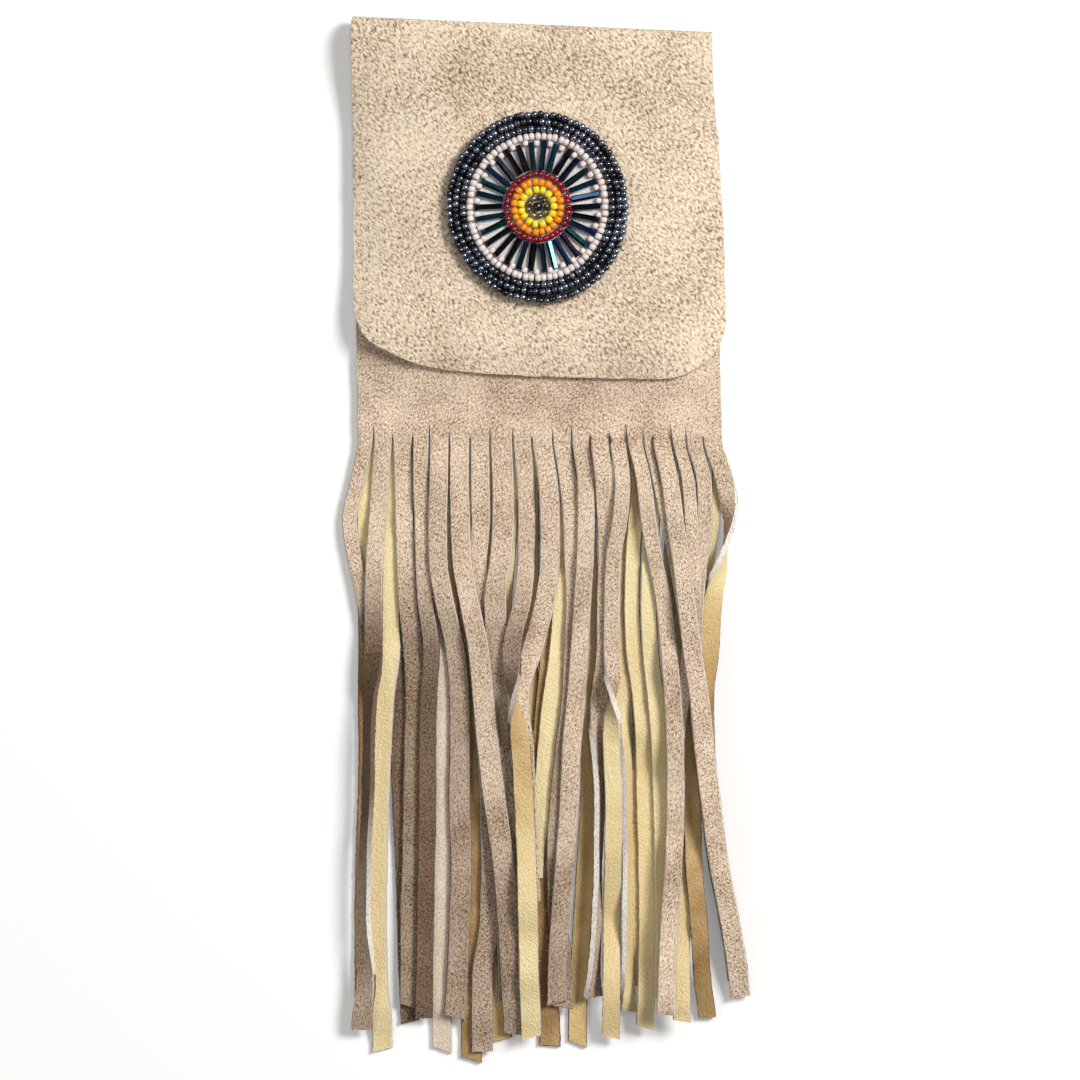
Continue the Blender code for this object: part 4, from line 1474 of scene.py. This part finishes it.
def around(radius, pitch):
    """How many beads of this pitch go round."""
    return round(2 * math.pi * radius / pitch)


# Rings from the middle out: node, radius, bead as seen, number of beads, wobble
RINGS = (
    ("bronze_ring", BRONZE_RING, 1.95 * MM, 9, 0.1 * MM),
    ("yellow_ring", YELLOW_RING, 2.6 * MM, 15, 0.12 * MM),
    ("orange_ring", ORANGE_RING, BEAD_SEEN, 23, 0.2 * MM),
    ("red_ring", RED_RING, 2.2 * MM, 34, 0.18 * MM),
    ("white_ring", WHITE_RING, BEAD_SEEN, around(WHITE_RING, BEAD_PITCH), 0.2 * MM),
    ("black_row_1", BLACK_ROW_1, BLACK_SEEN, around(BLACK_ROW_1, BLACK_SPACING), 0.14 * MM),
    ("black_row_2", BLACK_ROW_2, BLACK_SEEN, around(BLACK_ROW_2, BLACK_SPACING), 0.3 * MM),
    ("black_row_3", BLACK_ROW_3, BLACK_SEEN, around(BLACK_ROW_3, BLACK_SPACING), 0.55 * MM),
)
PALE_RINGS = 5


def build_rosette(set_out, strand):
    seed = turned("seed_shape", seed_outline(), 14, False)
    cut = turned("cut_shape", CUT_OUTLINE, 10, False)
    glass = {
        "yellow": seed_glass("yellow_glass", (1.0, 0.83, 0.03), (0.95, 0.7, 0.01), 0.22),
        "orange": seed_glass("orange_glass", (1.0, 0.36, 0.0), (0.95, 0.26, 0.0), 0.22),
        "red": seed_glass("red_glass", (0.3, 0.002, 0.018), (0.16, 0.0, 0.01), 0.2, 0.5),
        "white": seed_glass("blush_glass", (0.87, 0.76, 0.73), (0.78, 0.68, 0.66), 0.3, 0.3),
        "bronze": metal_glass(
            "bronze_glass", (0.04, 0.028, 0.014), (0.34, 0.26, 0.13), 0.3, 0.7 * MM),
        "gun": metal_glass(
            "gunmetal_glass", (0.02, 0.022, 0.025), (0.2, 0.2, 0.21), 0.2, 1.2 * MM),
        "black": metal_glass(
            "jet_glass", (0.008, 0.008, 0.012), (0.22, 0.24, 0.3), 0.16, 1.5 * MM),
    }
    felting = felt()
    rings = []
    for number, (node, *sizes) in enumerate(RINGS, 1):
        color = node.split("_")[0]
        rings.append(Ring(*sizes, number))
        shape = cut if color == "black" else seed
        beads = rings[-1].beads(node + "_beads", set_out, shape, glass[color])
        dress(beads, "flap", color + "_bead", node)
    bugles = build_bugles(set_out, bugle_glass())
    numbered = [f"bugle_bead_{number + 1:02d}" for number in range(BUGLES)]
    dress(bugles, "flap", "bugle_glass", *numbered)
    dress(build_spacers(set_out, seed, glass["white"]), "flap", "white_bead")
    dress(build_center_bead(glass["gun"]), "flap", "gunmetal_bead", "center_bead")
    dress(build_felt(felting), "flap", "felt", "rosette_backing")
    pale = thread("white_thread", (0.85, 0.82, 0.78), (0.6, 0.56, 0.52))
    dark = thread("dark_thread", (0.06, 0.06, 0.065), (0.015, 0.015, 0.018))
    dress(build_threads("pale_threads", strand, rings[:PALE_RINGS], pale), "flap", "felt")
    dress(build_threads("dark_threads", strand, rings[PALE_RINGS:], dark), "flap", "black_bead")
    for shape in (seed, cut):
        bpy.data.objects.remove(shape, do_unlink=True)


build_camera()
build_lamps()
build_world()
build_floor()
set_out = set_out_tree()
front, back, flap = build_leather()
front_fibres, back_fibres, flap_fibres = build_trim(set_out, front, back, flap)
build_rosette(set_out, strand_tree())

fringe_area("front", MOUTH)
fringe_area("back", FOLD_LINE)

bpy.context.scene.view_settings.view_transform = "Standard"
